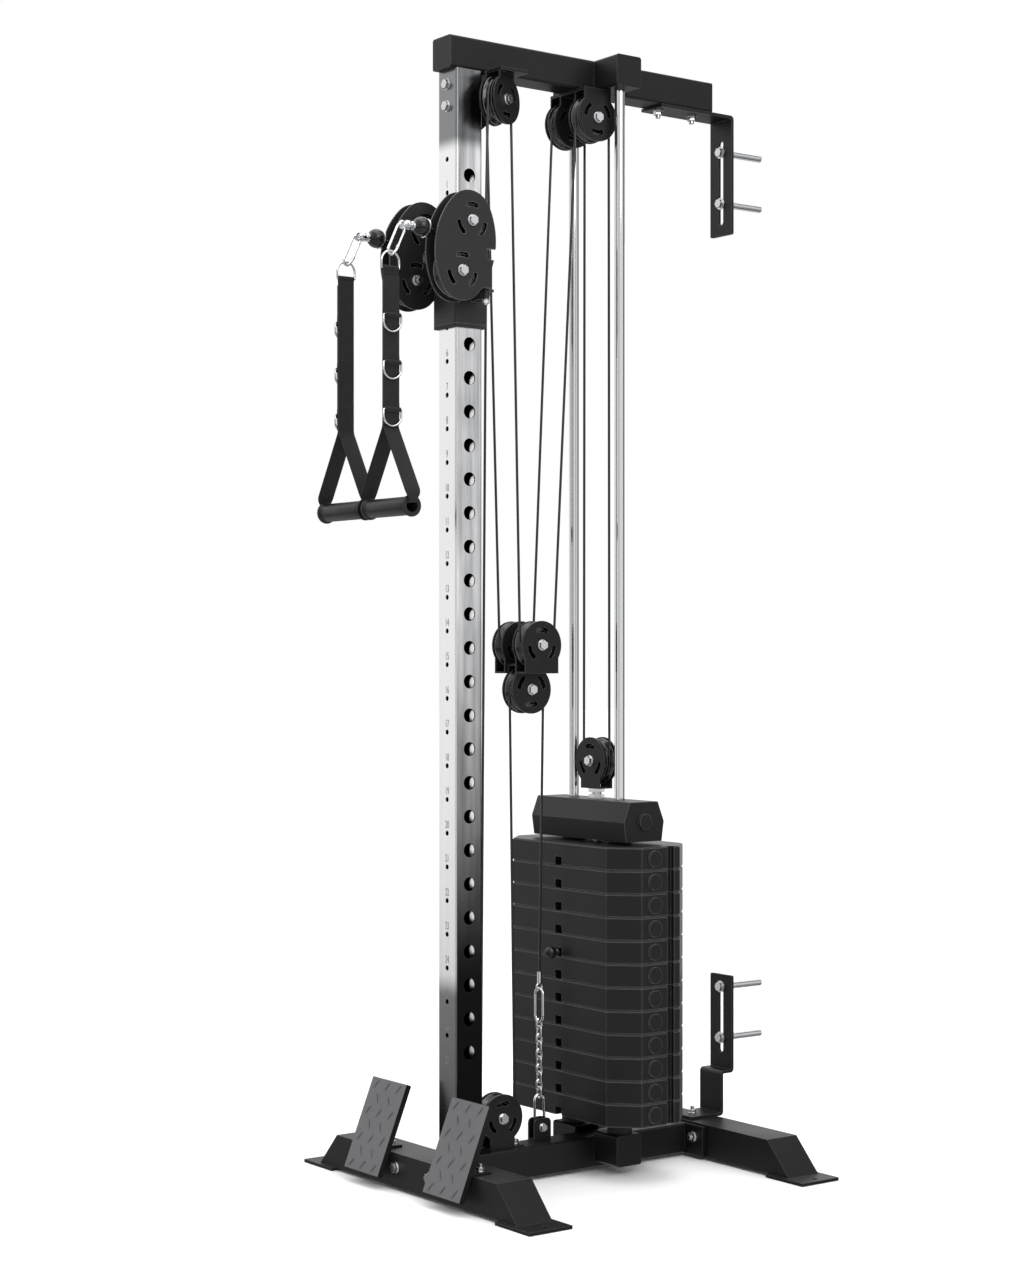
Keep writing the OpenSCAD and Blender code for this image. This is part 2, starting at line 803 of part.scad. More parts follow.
module lifted_plates() {
  color([0.15, 0.15, 0.15]) plates_between(plates - lifted, plates);
}

module head_block() {
  top_half = 34;
  mid_half = 49;
  low_half = 43.5;
  mid_h = head_h / 2;
  color([0.14, 0.14, 0.14]) difference() {
    union() {
      translate([-head_half, stack_y, head_z]) rotate([90, 0, 90]) linear_extrude(2 * head_half)
        polygon([[-low_half, 0], [low_half, 0], [mid_half, mid_h], [top_half, head_h],
          [-top_half, head_h], [-mid_half, mid_h]]);
      for (s = [-1, 1]) translate([s * (head_half - 1), stack_y, head_z + mid_h])
        rotate([0, s * 90, 0]) cylinder(h = 7, r = 15);
      for (s = [-1, 1]) translate([s * rod_x, stack_y, stack_top]) cylinder(h = pad_t + 1, r = 22);
    }
    for (s = [-1, 1]) translate([s * rod_x, stack_y, stack_top - 1])
      cylinder(h = head_h + pad_t + 2, r = rod_d / 2 + 2 * fit);
    translate([0, stack_y, head_z - 1]) cylinder(h = head_h + 2, r = stem_d / 2 + run);
  }
}

module lifting_stem() {
  low = stack_z + 3;
  bracket_z = head_top + stem_up;
  color(zinc) translate([0, stack_y, 0]) difference() {
    union() {
      translate([0, 0, low]) cylinder(h = head_top - low, r = stem_d / 2);
      translate([0, 0, head_top - 1]) cylinder(h = stem_up + plate_t + 2, r = 10);
      translate([0, 0, head_top]) cylinder(h = 8, r = 16, $fn = 6);
      translate([0, 0, bracket_z - 7]) cylinder(h = 7, r = 16, $fn = 6);
      translate([0, 0, bracket_z + plate_t]) cylinder(h = 5, r = 13, $fn = 6);
    }
    for (k = [0 : plates - 1]) translate([0, -stem_d, stack_z + k * plate_pitch + notch_h / 2])
      rotate([-90, 0, 0]) cylinder(h = 2 * stem_d, r = pick_d / 2 + fit);
  }
}

module selector_pin() {
  tip = stack_y + stem_d / 2 + 4;
  color([0.1, 0.1, 0.1]) translate([0, knob_y, pick_z]) {
    sphere(r = pick_knob_d / 2);
    rotate([-90, 0, 0]) cylinder(h = tip - knob_y, r = pick_d / 2);
    rotate([-90, 0, 0]) cylinder(h = pick_knob_d / 2 + 5, r = pick_d / 2 + 2);
  }
}

// Chain that holds the end of the lower cable

module chain_anchor() {
  plate_w = 40;
  ear_h = 42;
  inner = 7.5;
  ear = 3;
  hole_z = rail_top + 24;
  round_r = 10;
  color(steel_black) translate([chain_x, chain_y, 0]) difference() {
    union() {
      translate([-inner - ear, -plate_w / 2, rail_top]) cube([2 * (inner + ear), plate_w, ear]);
      for (x = [-inner - ear, inner]) translate([x, 0, rail_top]) rotate([90, 0, 90])
        linear_extrude(ear) {
          translate([-plate_w / 2, 0]) square([plate_w, ear_h - round_r]);
          translate([-plate_w / 2 + round_r, 0]) square([plate_w - 2 * round_r, ear_h]);
          for (s = [-1, 1]) translate([s * (plate_w / 2 - round_r), ear_h - round_r])
            circle(round_r);
        }
    }
    translate([-30, 0, hole_z]) rotate([0, 90, 0]) cylinder(h = 60, r = 4 + run);
  }
  color(zinc) translate([chain_x + inner + ear, chain_y, hole_z]) rotate([0, -90, 0])
    bolt(8, 2 * (inner + ear));
}

module tension_chain() {
  step = link_l - 2 * chain_wire - fit;
  top = chain_z + links * step;
  hook_len = 70;
  hook_wire = 6;
  ferrule_z = top + hook_len - hook_wire - fit;
  color(zinc) translate([chain_x, chain_y, 0]) {
    translate([0, 0, shackle_z]) rotate([0, 0, 90]) oval_link(shackle_l, 28, 5.5);
    for (k = [0 : links - 1]) translate([0, 0, chain_z + k * step])
      rotate([0, 0, k % 2 == 0 ? 0 : 90]) oval_link(link_l, 16, chain_wire);
    translate([0, 0, top + chain_wire - hook_wire]) oval_link(hook_len, 30, hook_wire);
    translate([0, 0, ferrule_z - 5]) rotate([0, 0, 90]) oval_link(18, 17, 4);
    translate([0, 0, ferrule_z + 12]) cylinder(h = 22, r = 4.5);
  }
}

chain_top = chain_z + links * (link_l - 2 * chain_wire - fit) + 70 - 6 - fit + 34;

// Pulleys

module front_left_pulley() { front_place(-1) pulley(pulley_r, rim_r); }
module front_right_pulley() { front_place(1) pulley(pulley_r, rim_r); }
module rear_left_pulley() { rear_place(-1) pulley(pulley_r, rim_r); }
module rear_right_pulley() { rear_place(1) pulley(pulley_r, rim_r); }
module block_left_pulley() { block_place(-1) pulley(pulley_r, rim_r); }
module block_right_pulley() { block_place(1) pulley(pulley_r, rim_r); }
module block_lower_pulley() { block_low_place() pulley(pulley_r, rim_r); }
module stack_pulley() { stack_place() pulley(pulley_r, rim_r); }
module base_pulley() { base_place() pulley(pulley_r, rim_r); }
module left_arm_upper_pulley() { arm_place(-1, arm_top_y, arm_top_z) pulley(arm_pulley_r, arm_rim_r); }
module left_arm_lower_pulley() { arm_place(-1, arm_low_y, arm_low_z) pulley(arm_pulley_r, arm_rim_r); }
module right_arm_upper_pulley() { arm_place(1, arm_top_y, arm_top_z) pulley(arm_pulley_r, arm_rim_r); }
module right_arm_lower_pulley() { arm_place(1, arm_low_y, arm_low_z) pulley(arm_pulley_r, arm_rim_r); }

// Trolley

sleeve_in = sleeve_w - 8;

module trolley_sleeve() {
  lug_bore = hinge_d / 2 + 2 * run;
  boss_len = 15;
  color(steel_black) difference() {
    union() {
      translate([0, 0, sleeve_z]) linear_extrude(sleeve_len) difference() {
        round_rect(sleeve_w, sleeve_w, tube_r);
        round_rect(sleeve_in, sleeve_in, 2);
      }
      for (s = [-1, 1], z = [lug_low, lug_low + lug_h + lug_gap]) translate([0, hinge_y, z]) {
        translate([s > 0 ? sleeve_w / 2 - 1 : -arm_x, -lug_r, 0])
          cube([arm_x - sleeve_w / 2 + 1, 2 * lug_r, lug_h]);
        translate([s * arm_x, 0, 0]) cylinder(h = lug_h, r = lug_r);
      }
      translate([0, -sleeve_w / 2 - boss_len, lock_z]) rotate([-90, 0, 0])
        cylinder(h = boss_len + 1, r = 9);
      translate([-11, sleeve_w / 2 - 1, tail_z]) cube([22, tail_y - sleeve_w / 2 + 12, 5]);
    }
    for (s = [-1, 1]) translate([s * arm_x, hinge_y, lug_low - 1])
      cylinder(h = 2 * lug_h + lug_gap + 2, r = lug_bore);
    translate([0, -sleeve_w, lock_z]) rotate([-90, 0, 0]) cylinder(h = sleeve_w / 2 + 8, r = 5);
    translate([0, tail_y, tail_z - 1]) cylinder(h = 7, r = 5 + fit);
  }
  color(zinc) translate([0, tail_y, tail_z]) {
    translate([0, 0, -12]) cylinder(h = 26, r = 5);
    translate([0, 0, 5]) cylinder(h = 7, r = 9, $fn = 6);
    translate([0, 0, -7]) cylinder(h = 7, r = 9, $fn = 6);
  }
}

// Two plastic liners between the sleeve and the upright
module trolley_liners() {
  liner_h = 40;
  lip = 6;
  liner_in = post_w + 2 * fit;
  color([0.05, 0.05, 0.05]) for (top = [0, 1])
    translate([0, 0, sleeve_z + (top == 1 ? sleeve_len : 0)]) mirror([0, 0, top]) difference() {
      union() {
        translate([0, 0, -lip]) linear_extrude(lip) round_rect(sleeve_w, sleeve_w, tube_r);
        linear_extrude(liner_h) round_rect(sleeve_in - 0.1, sleeve_in - 0.1, 2);
      }
      translate([0, 0, -lip - 1]) linear_extrude(liner_h + lip + 2)
        round_rect(liner_in, liner_in, tube_r);
    }
}

// The sprung lock pin, drawn out of its stop
module lock_pin() {
  draw = 11;
  tip = -half - 1;
  grip_y = -sleeve_w / 2 - 16 - draw;
  grip = 19;
  color([0.75, 0.75, 0.76]) translate([0, tip, lock_z]) rotate([90, 0, 0])
    cylinder(h = tip - grip_y + 1, r = stop_d / 2 - 0.2);
  color([0.08, 0.08, 0.08]) translate([0, grip_y - fit, lock_z]) rotate([90, 0, 0]) {
    cylinder(h = 5, r = lock_knob_d / 2 - 3);
    translate([0, 0, 5]) cylinder(h = grip - 5, r = lock_knob_d / 2);
  }
}

// One arm's plate in the YZ plane, its inner face at x = 0
// The oval outline of an arm's plate, four arcs that run into each other
module arm_oval() {
  centre_y = (arm_top_y + arm_low_y) / 2 - 3.5;
  centre_z = (arm_top_z + arm_low_z) / 2;
  tip = arm_half_h - arm_tip_r;
  side_r = (pow(arm_half_w, 2) - pow(arm_tip_r, 2) + pow(tip, 2)) / (2 * (arm_half_w - arm_tip_r));
  meet = tip * side_r / (side_r - arm_tip_r);
  translate([centre_y, centre_z]) rotate(-10) {
    for (s = [-1, 1]) {
      translate([0, s * tip]) circle(arm_tip_r, $fn = 96);
      intersection() {
        translate([s * (arm_half_w - side_r), 0]) circle(side_r, $fn = 180);
        translate([s > 0 ? -1 : -arm_half_w - 1, -meet]) square([arm_half_w + 2, 2 * meet]);
      }
    }
  }
}

// An arm's plate in the YZ plane, notched at the back for the sleeve's lugs
module arm_plate() {
  notch = lug_h + 2;
  rotate([90, 0, 90]) difference() {
    union() {
      linear_extrude(plate_t) arm_oval();
      translate([arm_low_y, lug_low + lug_h, 0])
        cube([hinge_y + 3 - arm_low_y, lug_gap, plate_t]);
    }
    for (z = [lug_low - 1, lug_low + lug_h + lug_gap - 1]) translate([hinge_y - lug_r - 2, z, -1])
      cube([30, notch, plate_t + 2]);
    for (p = [[arm_top_y, arm_top_z], [arm_low_y, arm_low_z]]) translate([p[0], p[1], 0]) {
      translate([0, 0, -1]) cylinder(h = plate_t + 2, r = axle_r + run);
      for (a = [90, 210, 330]) curved_slot(29.5, a);
    }
  }
}

module arm() {
  barrel_z = lug_low + lug_h + fit;
  barrel_h = lug_gap - 2 * fit;
  web_front = arm_low_y + arm_rim_r + 3;
  translate([half_gap, 0, 0]) arm_plate();
  translate([-half_gap - plate_t, 0, 0]) arm_plate();
  difference() {
    union() {
      translate([0, hinge_y, barrel_z]) cylinder(h = barrel_h, r = 9);
      translate([-half_gap, web_front, barrel_z])
        cube([gap, hinge_y - web_front, barrel_h]);
    }
    translate([0, hinge_y, barrel_z - 1]) cylinder(h = barrel_h + 2, r = hinge_d / 2 + run);
  }
}

module arm_bolts() {
  top = lug_low + 2 * lug_h + lug_gap + fit;
  translate([0, arm_top_y, arm_top_z]) pulley_bolt();
  translate([0, arm_low_y, arm_low_z]) pulley_bolt();
  translate([0, hinge_y, top]) mirror([0, 0, 1]) bolt(hinge_d, 2 * lug_h + lug_gap + 2 * fit);
}

module left_arm() { color(steel_black) arm_place(-1, 0, 0) arm(); }
module right_arm() { color(steel_black) arm_place(1, 0, 0) arm(); }
module left_arm_bolts() { color(zinc) arm_place(-1, 0, 0) arm_bolts(); }
module right_arm_bolts() { color(zinc) arm_place(1, 0, 0) arm_bolts(); }

// Handles

// Ball stop, cup, swivel eye and spring hook at the end of the upper cable
module cable_end() {
  hook_tilt = -25.4;
  hook_wire = 5;
  reach = (hook_l - hook_wire) / 2;
  eye = [19, 16, 4.5];
  eye_y = hook_y - reach * sin(hook_tilt);
  eye_z = hook_z + reach * cos(hook_tilt);
  swivel_y = eye_y + eye[1] / 2 - 1;
  color(nylon) translate([0, ball_y, ball_z]) sphere(r = ball_d / 2);
  color(zinc) {
    translate([0, ball_y, ball_z]) rotate([-90 - exit_rise, 0, 0]) rotate_extrude() {
      intersection() {
        difference() {
          circle(ball_d / 2 + 2);
          circle(ball_d / 2 + 0.2);
        }
        translate([0, 8]) square([30, 30]);
      }
      translate([0, ball_d / 2 + 1]) square([5, ferrule_l - ball_d / 2 - 1]);
    }
    translate([0, ball_y - ball_d / 2 + 1, ball_z]) rotate([90, 0, 0]) {
      cylinder(h = ball_y - ball_d / 2 + 1 - swivel_y, r = 5);
      cylinder(h = 5, r = 8);
    }
    translate([0, eye_y, eye_z - eye[0] / 2]) rotate([0, 0, 90]) oval_link(eye[0], eye[1], eye[2]);
    translate([0, hook_y, hook_z]) rotate([hook_tilt, 0, 0]) translate([0, 0, -hook_l / 2])
      oval_link(hook_l, 22, hook_wire);
  }
}

module left_cable_end() { arm_place(-1, 0, 0) cable_end(); }
module right_cable_end() { arm_place(1, 0, 0) cable_end(); }

// Webbing with a ring at its top, three side rings and a fork that carries the grip
module strap() {
  ring_r = web_w / 2;
  ring_wire = 4;
  ply = web_t / 2;
  grip_half = grip_len / 2;
  fork_low = grip_z + grip_d / 2 + 8;
  inlay_z = grip_z + sqrt(pow(grip_d / 2 - grip_wall, 2) - 81) - fit - ply;
  straight = 11.6;
  leg = [grip_half + 3 - ply, fork_z + 4 - fork_low];
  color(zinc) translate([0, swing_y, web_top + 3]) rotate([0, 0, 90]) {
    translate([0, 0, straight]) half_ring(ring_r, ring_wire);
    for (s = [-1, 1]) translate([s * ring_r, 0, 0])
      cylinder(h = straight, r = ring_wire / 2, $fn = 32);
    translate([-ring_r, 0, 0]) rotate([0, 90, 0]) cylinder(h = 2 * ring_r, r = ring_wire / 2, $fn = 32);
  }
  color(zinc) for (z = [web_top - 82, web_top - 167, web_top - 252])
    translate([web_t / 2 + 4.5, swing_y, z]) rotate([0, 0, 90]) {
      translate([0, 0, -11]) mirror([0, 0, 1]) half_ring(ring_r, ring_wire);
      for (s = [-1, 1]) translate([s * ring_r, 0, -11]) cylinder(h = 11, r = ring_wire / 2, $fn = 32);
      translate([-ring_r, 0, 0]) rotate([0, 90, 0])
        cylinder(h = 2 * ring_r, r = ring_wire / 2, $fn = 32);
    }
  color([0.13, 0.13, 0.13]) {
    difference() {
      union() {
        translate([-web_t / 2, swing_y - ring_r + 2.5, fork_z])
          cube([web_t, 2 * ring_r - 5, web_top + 3 - fork_z]);
        translate([0, swing_y - ring_r + 2.5, web_top + 3]) rotate([-90, 0, 0])
          cylinder(h = 2 * ring_r - 5, r = 4.5);
        for (z = [web_top - 82, web_top - 167, web_top - 252])
          translate([0, swing_y - ring_r + 2.5, z - 5]) cube([web_t / 2 + 8.5, 2 * ring_r - 5, 10]);
      }
      translate([0, swing_y - web_w, web_top + 3]) rotate([-90, 0, 0])
        cylinder(h = 2 * web_w, r = ring_wire / 2 + 0.1);
      for (z = [web_top - 82, web_top - 167, web_top - 252])
        translate([web_t / 2 + 4.5, swing_y - web_w, z]) rotate([-90, 0, 0])
          cylinder(h = 2 * web_w, r = ring_wire / 2 + 0.1);
    }
    for (s = [-1, 1]) {
      translate([s * ply / 2, swing_y - ring_r + 2.5, fork_z + 4])
        rotate([0, s * (180 - atan2(leg[0], leg[1])), 0]) translate([-ply / 2, 0, 0])
          cube([ply, 2 * ring_r - 5, norm(leg)]);
      translate([s * (grip_half + 3) - ply / 2, swing_y - 9, inlay_z])
        cube([ply, 18, fork_low - inlay_z + 2]);
    }
    translate([-grip_half - 3, swing_y - 9, inlay_z]) cube([grip_len + 6, 18, ply]);
  }
}

module grip() {
  flange = 5;
  bore_r = grip_d / 2 - grip_wall;
  color([0.07, 0.07, 0.07]) translate([-grip_len / 2, swing_y, grip_z]) rotate([0, 90, 0])
    difference() {
      union() {
        cylinder(h = grip_len, r = grip_d / 2);
        for (x = [0, grip_len - flange]) translate([0, 0, x]) cylinder(h = flange, r = grip_d / 2 + 3);
      }
      translate([0, 0, -1]) cylinder(h = grip_len + 2, r = bore_r);
    }
}

module left_strap() { arm_place(-1, 0, 0) strap(); }
module right_strap() { arm_place(1, 0, 0) strap(); }
module left_grip() { arm_place(-1, 0, 0) grip(); }
module right_grip() { arm_place(1, 0, 0) grip(); }

// Cables

module strand(from, to) {
  way = (to - from) / norm(to - from);
  color(nylon) rod(from + way * fit, to - way * fit, cable_r);
}

module trolley_strands() {
  for (s = [-1, 1]) strand([s * front_out[0], front_out[1], top_z], [s * arm_x, hinge_y, arm_top_z]);
}

module fixed_wraps() {
  color(nylon) {
    for (s = [-1, 1]) {
      front_place(s) half_turn(pulley_r);
      rear_place(s) half_turn(pulley_r);
    }
    base_place() mirror([0, 0, 1]) half_turn(pulley_r);
  }
}

module block_upper_strands() {
  for (s = [-1, 1]) {
    strand([s * front_in[0], front_in[1], top_z], [s * block_x, block_y - pulley_r, block_z]);
    strand([s * rear_x, rear_y - pulley_r, top_z], [s * block_x, block_y + pulley_r, block_z]);
  }
}

module stack_strands() {
  for (s = [-1, 1]) strand([s * rear_x, stack_y, top_z], [s * pulley_r, stack_y, stack_pulley_z]);
}

module trolley_tail_strand() {
  strand([0, base_y - pulley_r, base_z], [0, tail_y, tail_z - 12]);
}

module block_lower_strands() {
  strand([0, base_y + pulley_r, base_z], [0, block_y - pulley_r, block_low_z]);
  strand([chain_x, chain_y, chain_top], [0, block_y + pulley_r, block_low_z]);
}

module block_wraps() {
  color(nylon) {
    for (s = [-1, 1]) block_place(s) mirror([0, 0, 1]) half_turn(pulley_r);
    block_low_place() half_turn(pulley_r);
  }
}

module stack_wrap() {
  color(nylon) stack_place() mirror([0, 0, 1]) half_turn(pulley_r);
}

// The cable under an arm's upper pulley and out to the ball stop
module arm_wrap() {
  reach = (exit_y - ball_y) / cos(exit_rise) - ferrule_l - fit;
  color(nylon) translate([0, arm_top_y, arm_top_z]) rotate([90, 0, 90]) rotate([0, 0, -90 - exit_rise]) {
    rotate_extrude(angle = 90 + exit_rise) translate([arm_pulley_r, 0]) circle(cable_r, $fn = 32);
    translate([arm_pulley_r, 0, 0]) rotate([90, 0, 0]) cylinder(h = reach, r = cable_r, $fn = 32);
  }
}

module left_arm_wrap() { arm_place(-1, 0, 0) arm_wrap(); }
module right_arm_wrap() { arm_place(1, 0, 0) arm_wrap(); }

upright();
top_beam();
base_rail();
front_foot_beam();
rear_foot_beam();
foot_plates();
upper_wall_bracket();
lower_wall_bracket();
frame_bolts();
front_pulley_bracket();
rear_pulley_bracket();
base_pulley_bracket();
guide_rods();
stack_bumpers();
fixed_plates();
chain_anchor();
tension_chain();
head_block();
lifted_plates();
lifting_stem();
stack_pulley_bracket();
selector_pin();
front_left_pulley();
front_right_pulley();
rear_left_pulley();
rear_right_pulley();
block_left_pulley();
block_right_pulley();
block_lower_pulley();
stack_pulley();
base_pulley();
left_arm_upper_pulley();
left_arm_lower_pulley();
right_arm_upper_pulley();
right_arm_lower_pulley();
trolley_sleeve();
trolley_liners();
lock_pin();
left_arm();
right_arm();
left_arm_bolts();
right_arm_bolts();
pulley_block();
pulley_block_bolts();
left_cable_end();
right_cable_end();
left_strap();
right_strap();
left_grip();
right_grip();
trolley_strands();
fixed_wraps();
block_upper_strands();
stack_strands();
trolley_tail_strand();
block_lower_strands();
block_wraps();
stack_wrap();
left_arm_wrap();
right_arm_wrap();
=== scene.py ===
"""Looks of a wall-mounted cable machine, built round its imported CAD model.

Lengths are metres, +Z is up and +Y points to the wall.
"""

import math

import bpy
from mathutils import Matrix, Vector


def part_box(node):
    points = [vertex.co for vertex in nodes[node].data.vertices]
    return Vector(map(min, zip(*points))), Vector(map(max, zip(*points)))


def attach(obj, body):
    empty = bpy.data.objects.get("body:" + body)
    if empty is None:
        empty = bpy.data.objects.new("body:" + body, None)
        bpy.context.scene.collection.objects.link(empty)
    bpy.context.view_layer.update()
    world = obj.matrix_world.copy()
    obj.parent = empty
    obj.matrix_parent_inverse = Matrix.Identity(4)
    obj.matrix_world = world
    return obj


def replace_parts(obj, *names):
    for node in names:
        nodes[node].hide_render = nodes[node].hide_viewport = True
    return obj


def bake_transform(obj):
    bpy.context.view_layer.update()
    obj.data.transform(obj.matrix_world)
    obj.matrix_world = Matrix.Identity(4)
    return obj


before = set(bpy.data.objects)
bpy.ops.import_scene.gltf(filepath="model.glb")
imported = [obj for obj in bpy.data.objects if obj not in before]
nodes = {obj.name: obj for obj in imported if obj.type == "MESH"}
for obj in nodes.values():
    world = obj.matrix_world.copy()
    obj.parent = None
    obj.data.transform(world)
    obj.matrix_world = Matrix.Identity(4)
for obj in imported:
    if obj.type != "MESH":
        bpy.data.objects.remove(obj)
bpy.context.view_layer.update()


# Camera and studio
# A level camera stands to the front right at half the machine's height, as in the photograph.
# The floor is white paper under a white sky. Tall dark flags and a dark ground, seen only in
# reflections, draw the dark edges on polished steel, and three soft boxes give the highlights.

mm = 0.001
hands = (("left", -1), ("right", 1))

camera_data = bpy.data.cameras.new("camera")
camera_data.lens = 66.47
camera_data.sensor_width = 36
camera_data.shift_y = 0.0107
camera_data.clip_end = 60
camera = bpy.data.objects.new("camera", camera_data)
camera.location = (3.6327, -2.5480, 1.0036)
camera.rotation_euler = (math.radians(90), 0, math.radians(53.70))
bpy.context.collection.objects.link(camera)
bpy.context.scene.camera = camera
bpy.context.scene.view_settings.view_transform = "Standard"


def linear(hex_code):
    """An sRGB hex colour as the linear values that a socket takes."""
    parts = [int(hex_code[i : i + 2], 16) / 255 for i in (1, 3, 5)]
    return [c / 12.92 if c <= 0.04045 else ((c + 0.055) / 1.055) ** 2.4 for c in parts] + [1]


def add(tree, kind, links=None, **settings):
    """Adds a node, with its settings and what its sockets read."""
    node = tree.nodes.new(kind)
    for name, value in settings.items():
        if name in node.inputs:
            node.inputs[name].default_value = value
        else:
            setattr(node, name, value)
    for name, source in (links or {}).items():
        tree.links.new(source, node.inputs[name])
    return node


def surface(name, **settings):
    """A new material with its shader's fixed values, its tree and its shader."""
    material = bpy.data.materials.new(name)
    material.use_nodes = True
    tree = material.node_tree
    tree.nodes.clear()
    shader = add(tree, "ShaderNodeBsdfPrincipled", **settings)
    add(tree, "ShaderNodeOutputMaterial", {"Surface": shader.outputs["BSDF"]})
    return material, tree, shader


def deselect():
    """Leaves no object selected."""
    bpy.ops.object.select_all(action="DESELECT")


paper, tree, shader = surface("matt_paper", **{"Base Color": linear("#fafafa"), "Roughness": 0.9})
deselect()
bpy.ops.mesh.primitive_plane_add(size=60, location=(0, 0, -0.0005))
floor = bpy.context.object
floor.name = "floor"
floor.data.materials.append(paper)
floor.visible_glossy = False

world = bpy.data.worlds.new("studio")
world.use_nodes = True
bpy.context.scene.world = world
sky_high = 1.55
sky_low = 0.95
ground = 0.04
pale_ground = 0.75
tree = world.node_tree
tree.nodes.clear()
heading = add(tree, "ShaderNodeTexCoord").outputs["Generated"]
rise = add(tree, "ShaderNodeSeparateXYZ", {"Vector": heading}).outputs["Z"]


def ramp(tree, source, low, high, start, stop):
    """A smooth step from one value to another while the source rises from low to high."""
    step = add(
        tree,
        "ShaderNodeMapRange",
        {"Value": source},
        interpolation_type="SMOOTHSTEP",
        **{"From Min": low, "From Max": high, "To Min": start, "To Max": stop},
    )
    return step.outputs["Result"]


def maths(tree, operation, one, other=None):
    """A sum, product or other operation on outputs of nodes."""
    links = {0: one} if other is None else {0: one, 1: other}
    return add(tree, "ShaderNodeMath", links, operation=operation).outputs["Value"]


# The ground is dark where a level view mirrors it, and pale again steeply below.
skyward = ramp(tree, rise, 0.15, 0.8, sky_low, sky_high)
near_level = ramp(tree, rise, -0.24, -0.10, ground, 1.0)
steep = ramp(tree, rise, -0.40, -0.28, pale_ground, 0.0)
level = maths(tree, "MULTIPLY", skyward, maths(tree, "ADD", near_level, steep))
flat = add(tree, "ShaderNodeVectorMath", {0: heading}, operation="MULTIPLY")
flat.inputs[1].default_value = (1, 1, 0)
flat = add(tree, "ShaderNodeVectorMath", {0: flat.outputs["Vector"]}, operation="NORMALIZE")
# Each flag: the heading of its middle, the cosines at its outer and inner edge, and its shade.
for flag_x, flag_y, outer, inner, shade in (
    (0.347, 0.938, 0.910, 0.978, 0.10),
    (0.584, -0.812, 0.975, 0.996, 0.55),
    (-0.363, -0.932, 0.960, 0.990, 0.35),
):
    toward = add(
        tree, "ShaderNodeVectorMath", {0: flat.outputs["Vector"]}, operation="DOT_PRODUCT"
    )
    toward.inputs[1].default_value = (flag_x, flag_y, 0)
    darker = ramp(tree, toward.outputs["Value"], outer, inner, 1.0, shade)
    level = maths(tree, "MULTIPLY", level, darker)
seen = add(tree, "ShaderNodeLightPath").outputs["Is Camera Ray"]
white = add(tree, "ShaderNodeMix", {"Factor": seen, 2: level}, data_type="FLOAT")
white.inputs[3].default_value = 1.0
sky = add(tree, "ShaderNodeBackground", {"Strength": white.outputs[0]}, Color=linear("#ffffff"))
add(tree, "ShaderNodeOutputWorld", {"Surface": sky.outputs["Background"]})

lit_middle = Vector((0, 0.2, 1.1))
for name, place, size, power in (
    ("key_light", (-2.0, -3.0, 4.4), 2.6, 28),
    ("side_light", (4.2, -0.4, 3.8), 2.4, 60),
    ("top_light", (0.4, 0.2, 4.6), 3.0, 50),
):
    light_data = bpy.data.lights.new(name, "AREA")
    light_data.size = size
    light_data.energy = power
    light = bpy.data.objects.new(name, light_data)
    light.location = place
    light.rotation_euler = (lit_middle - Vector(place)).to_track_quat("-Z", "Y").to_euler()
    bpy.context.collection.objects.link(light)


# Upright
# A square tube of polished steel with a row of stops in its front and large holes in its sides.
# The polish leaves soft streaks along it. Each stop's number is printed below it, in grey.
# Its colour holds painted reflections and painted shade, and inside it a painted patch of light.

post_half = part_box("upright")[1].x
stop_top = 1.928
stop_pitch = 63 * mm
stops = 27
side_fold = (0.6, 0.9)
# Heights between which painted reflections and shade change: side and front turn darker downwards,
# the top greyer under the beam.
painted_side_shade = (0.38, 1.20)
painted_front_shade = (0.36, 0.41)
painted_top_shade = (1.94, 1.97)
# The tube's skin, its rear wall inside, and the middle and radius of the painted patch of light on
# that wall.
tube_skin = (27.8 * mm, 28.6 * mm)
rear_wall = (26.2 * mm, 26.8 * mm)
painted_patch_x, painted_patch_z, painted_patch_r = 6 * mm, 1.1985, 14.5 * mm


def dress(material, *names):
    """Gives CAD nodes a finish."""
    for name in names:
        nodes[name].data.materials.clear()
        nodes[name].data.materials.append(material)


def piece_of(name, material, body):
    """Names the object just made, gives it its finish and lets it ride on a body."""
    piece = bpy.context.object
    piece.name = name
    piece.data.materials.clear()
    piece.data.materials.append(material)
    if body:
        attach(piece, body)
    return piece


def join(pieces):
    """Makes one object of several, which is then the active one."""
    deselect()
    for piece in pieces:
        piece.select_set(True)
    bpy.context.view_layer.objects.active = pieces[0]
    bpy.ops.object.join()
    return bpy.context.object


def mixed(tree, factor, first, second, **settings):
    """A colour between two others, each given as linear values or as a node's output."""
    node = add(tree, "ShaderNodeMix", {"Factor": factor}, data_type="RGBA", **settings)
    for socket, colour in ((6, first), (7, second)):
        if isinstance(colour, list):
            node.inputs[socket].default_value = colour
        else:
            tree.links.new(colour, node.inputs[socket])
    return node.outputs[2]


def position(tree):
    """The place of a shaded point on its object."""
    return add(tree, "ShaderNodeTexCoord").outputs["Object"]


def noise(tree, place, scale, detail):
    """The strength of a noise pattern."""
    pattern = add(tree, "ShaderNodeTexNoise", {"Vector": place}, Scale=scale, Detail=detail)
    return pattern.outputs["Fac"]


def two_tone(tree, shader, pattern, dark, light):
    """Colours a surface by a pattern, from a dark tone to a light one."""
    tone = add(tree, "ShaderNodeValToRGB", {"Fac": pattern})
    tone.color_ramp.elements[0].color = linear(dark)
    tone.color_ramp.elements[1].color = linear(light)
    tree.links.new(tone.outputs["Color"], shader.inputs["Base Color"])


def raised(tree, shader, pattern, strength, depth, normal=None):
    """Lets a pattern stand out of a surface."""
    links = {"Height": pattern}
    if normal:
        links["Normal"] = normal
    bump = add(tree, "ShaderNodeBump", links, Strength=strength, Distance=depth)
    tree.links.new(bump.outputs["Normal"], shader.inputs["Normal"])


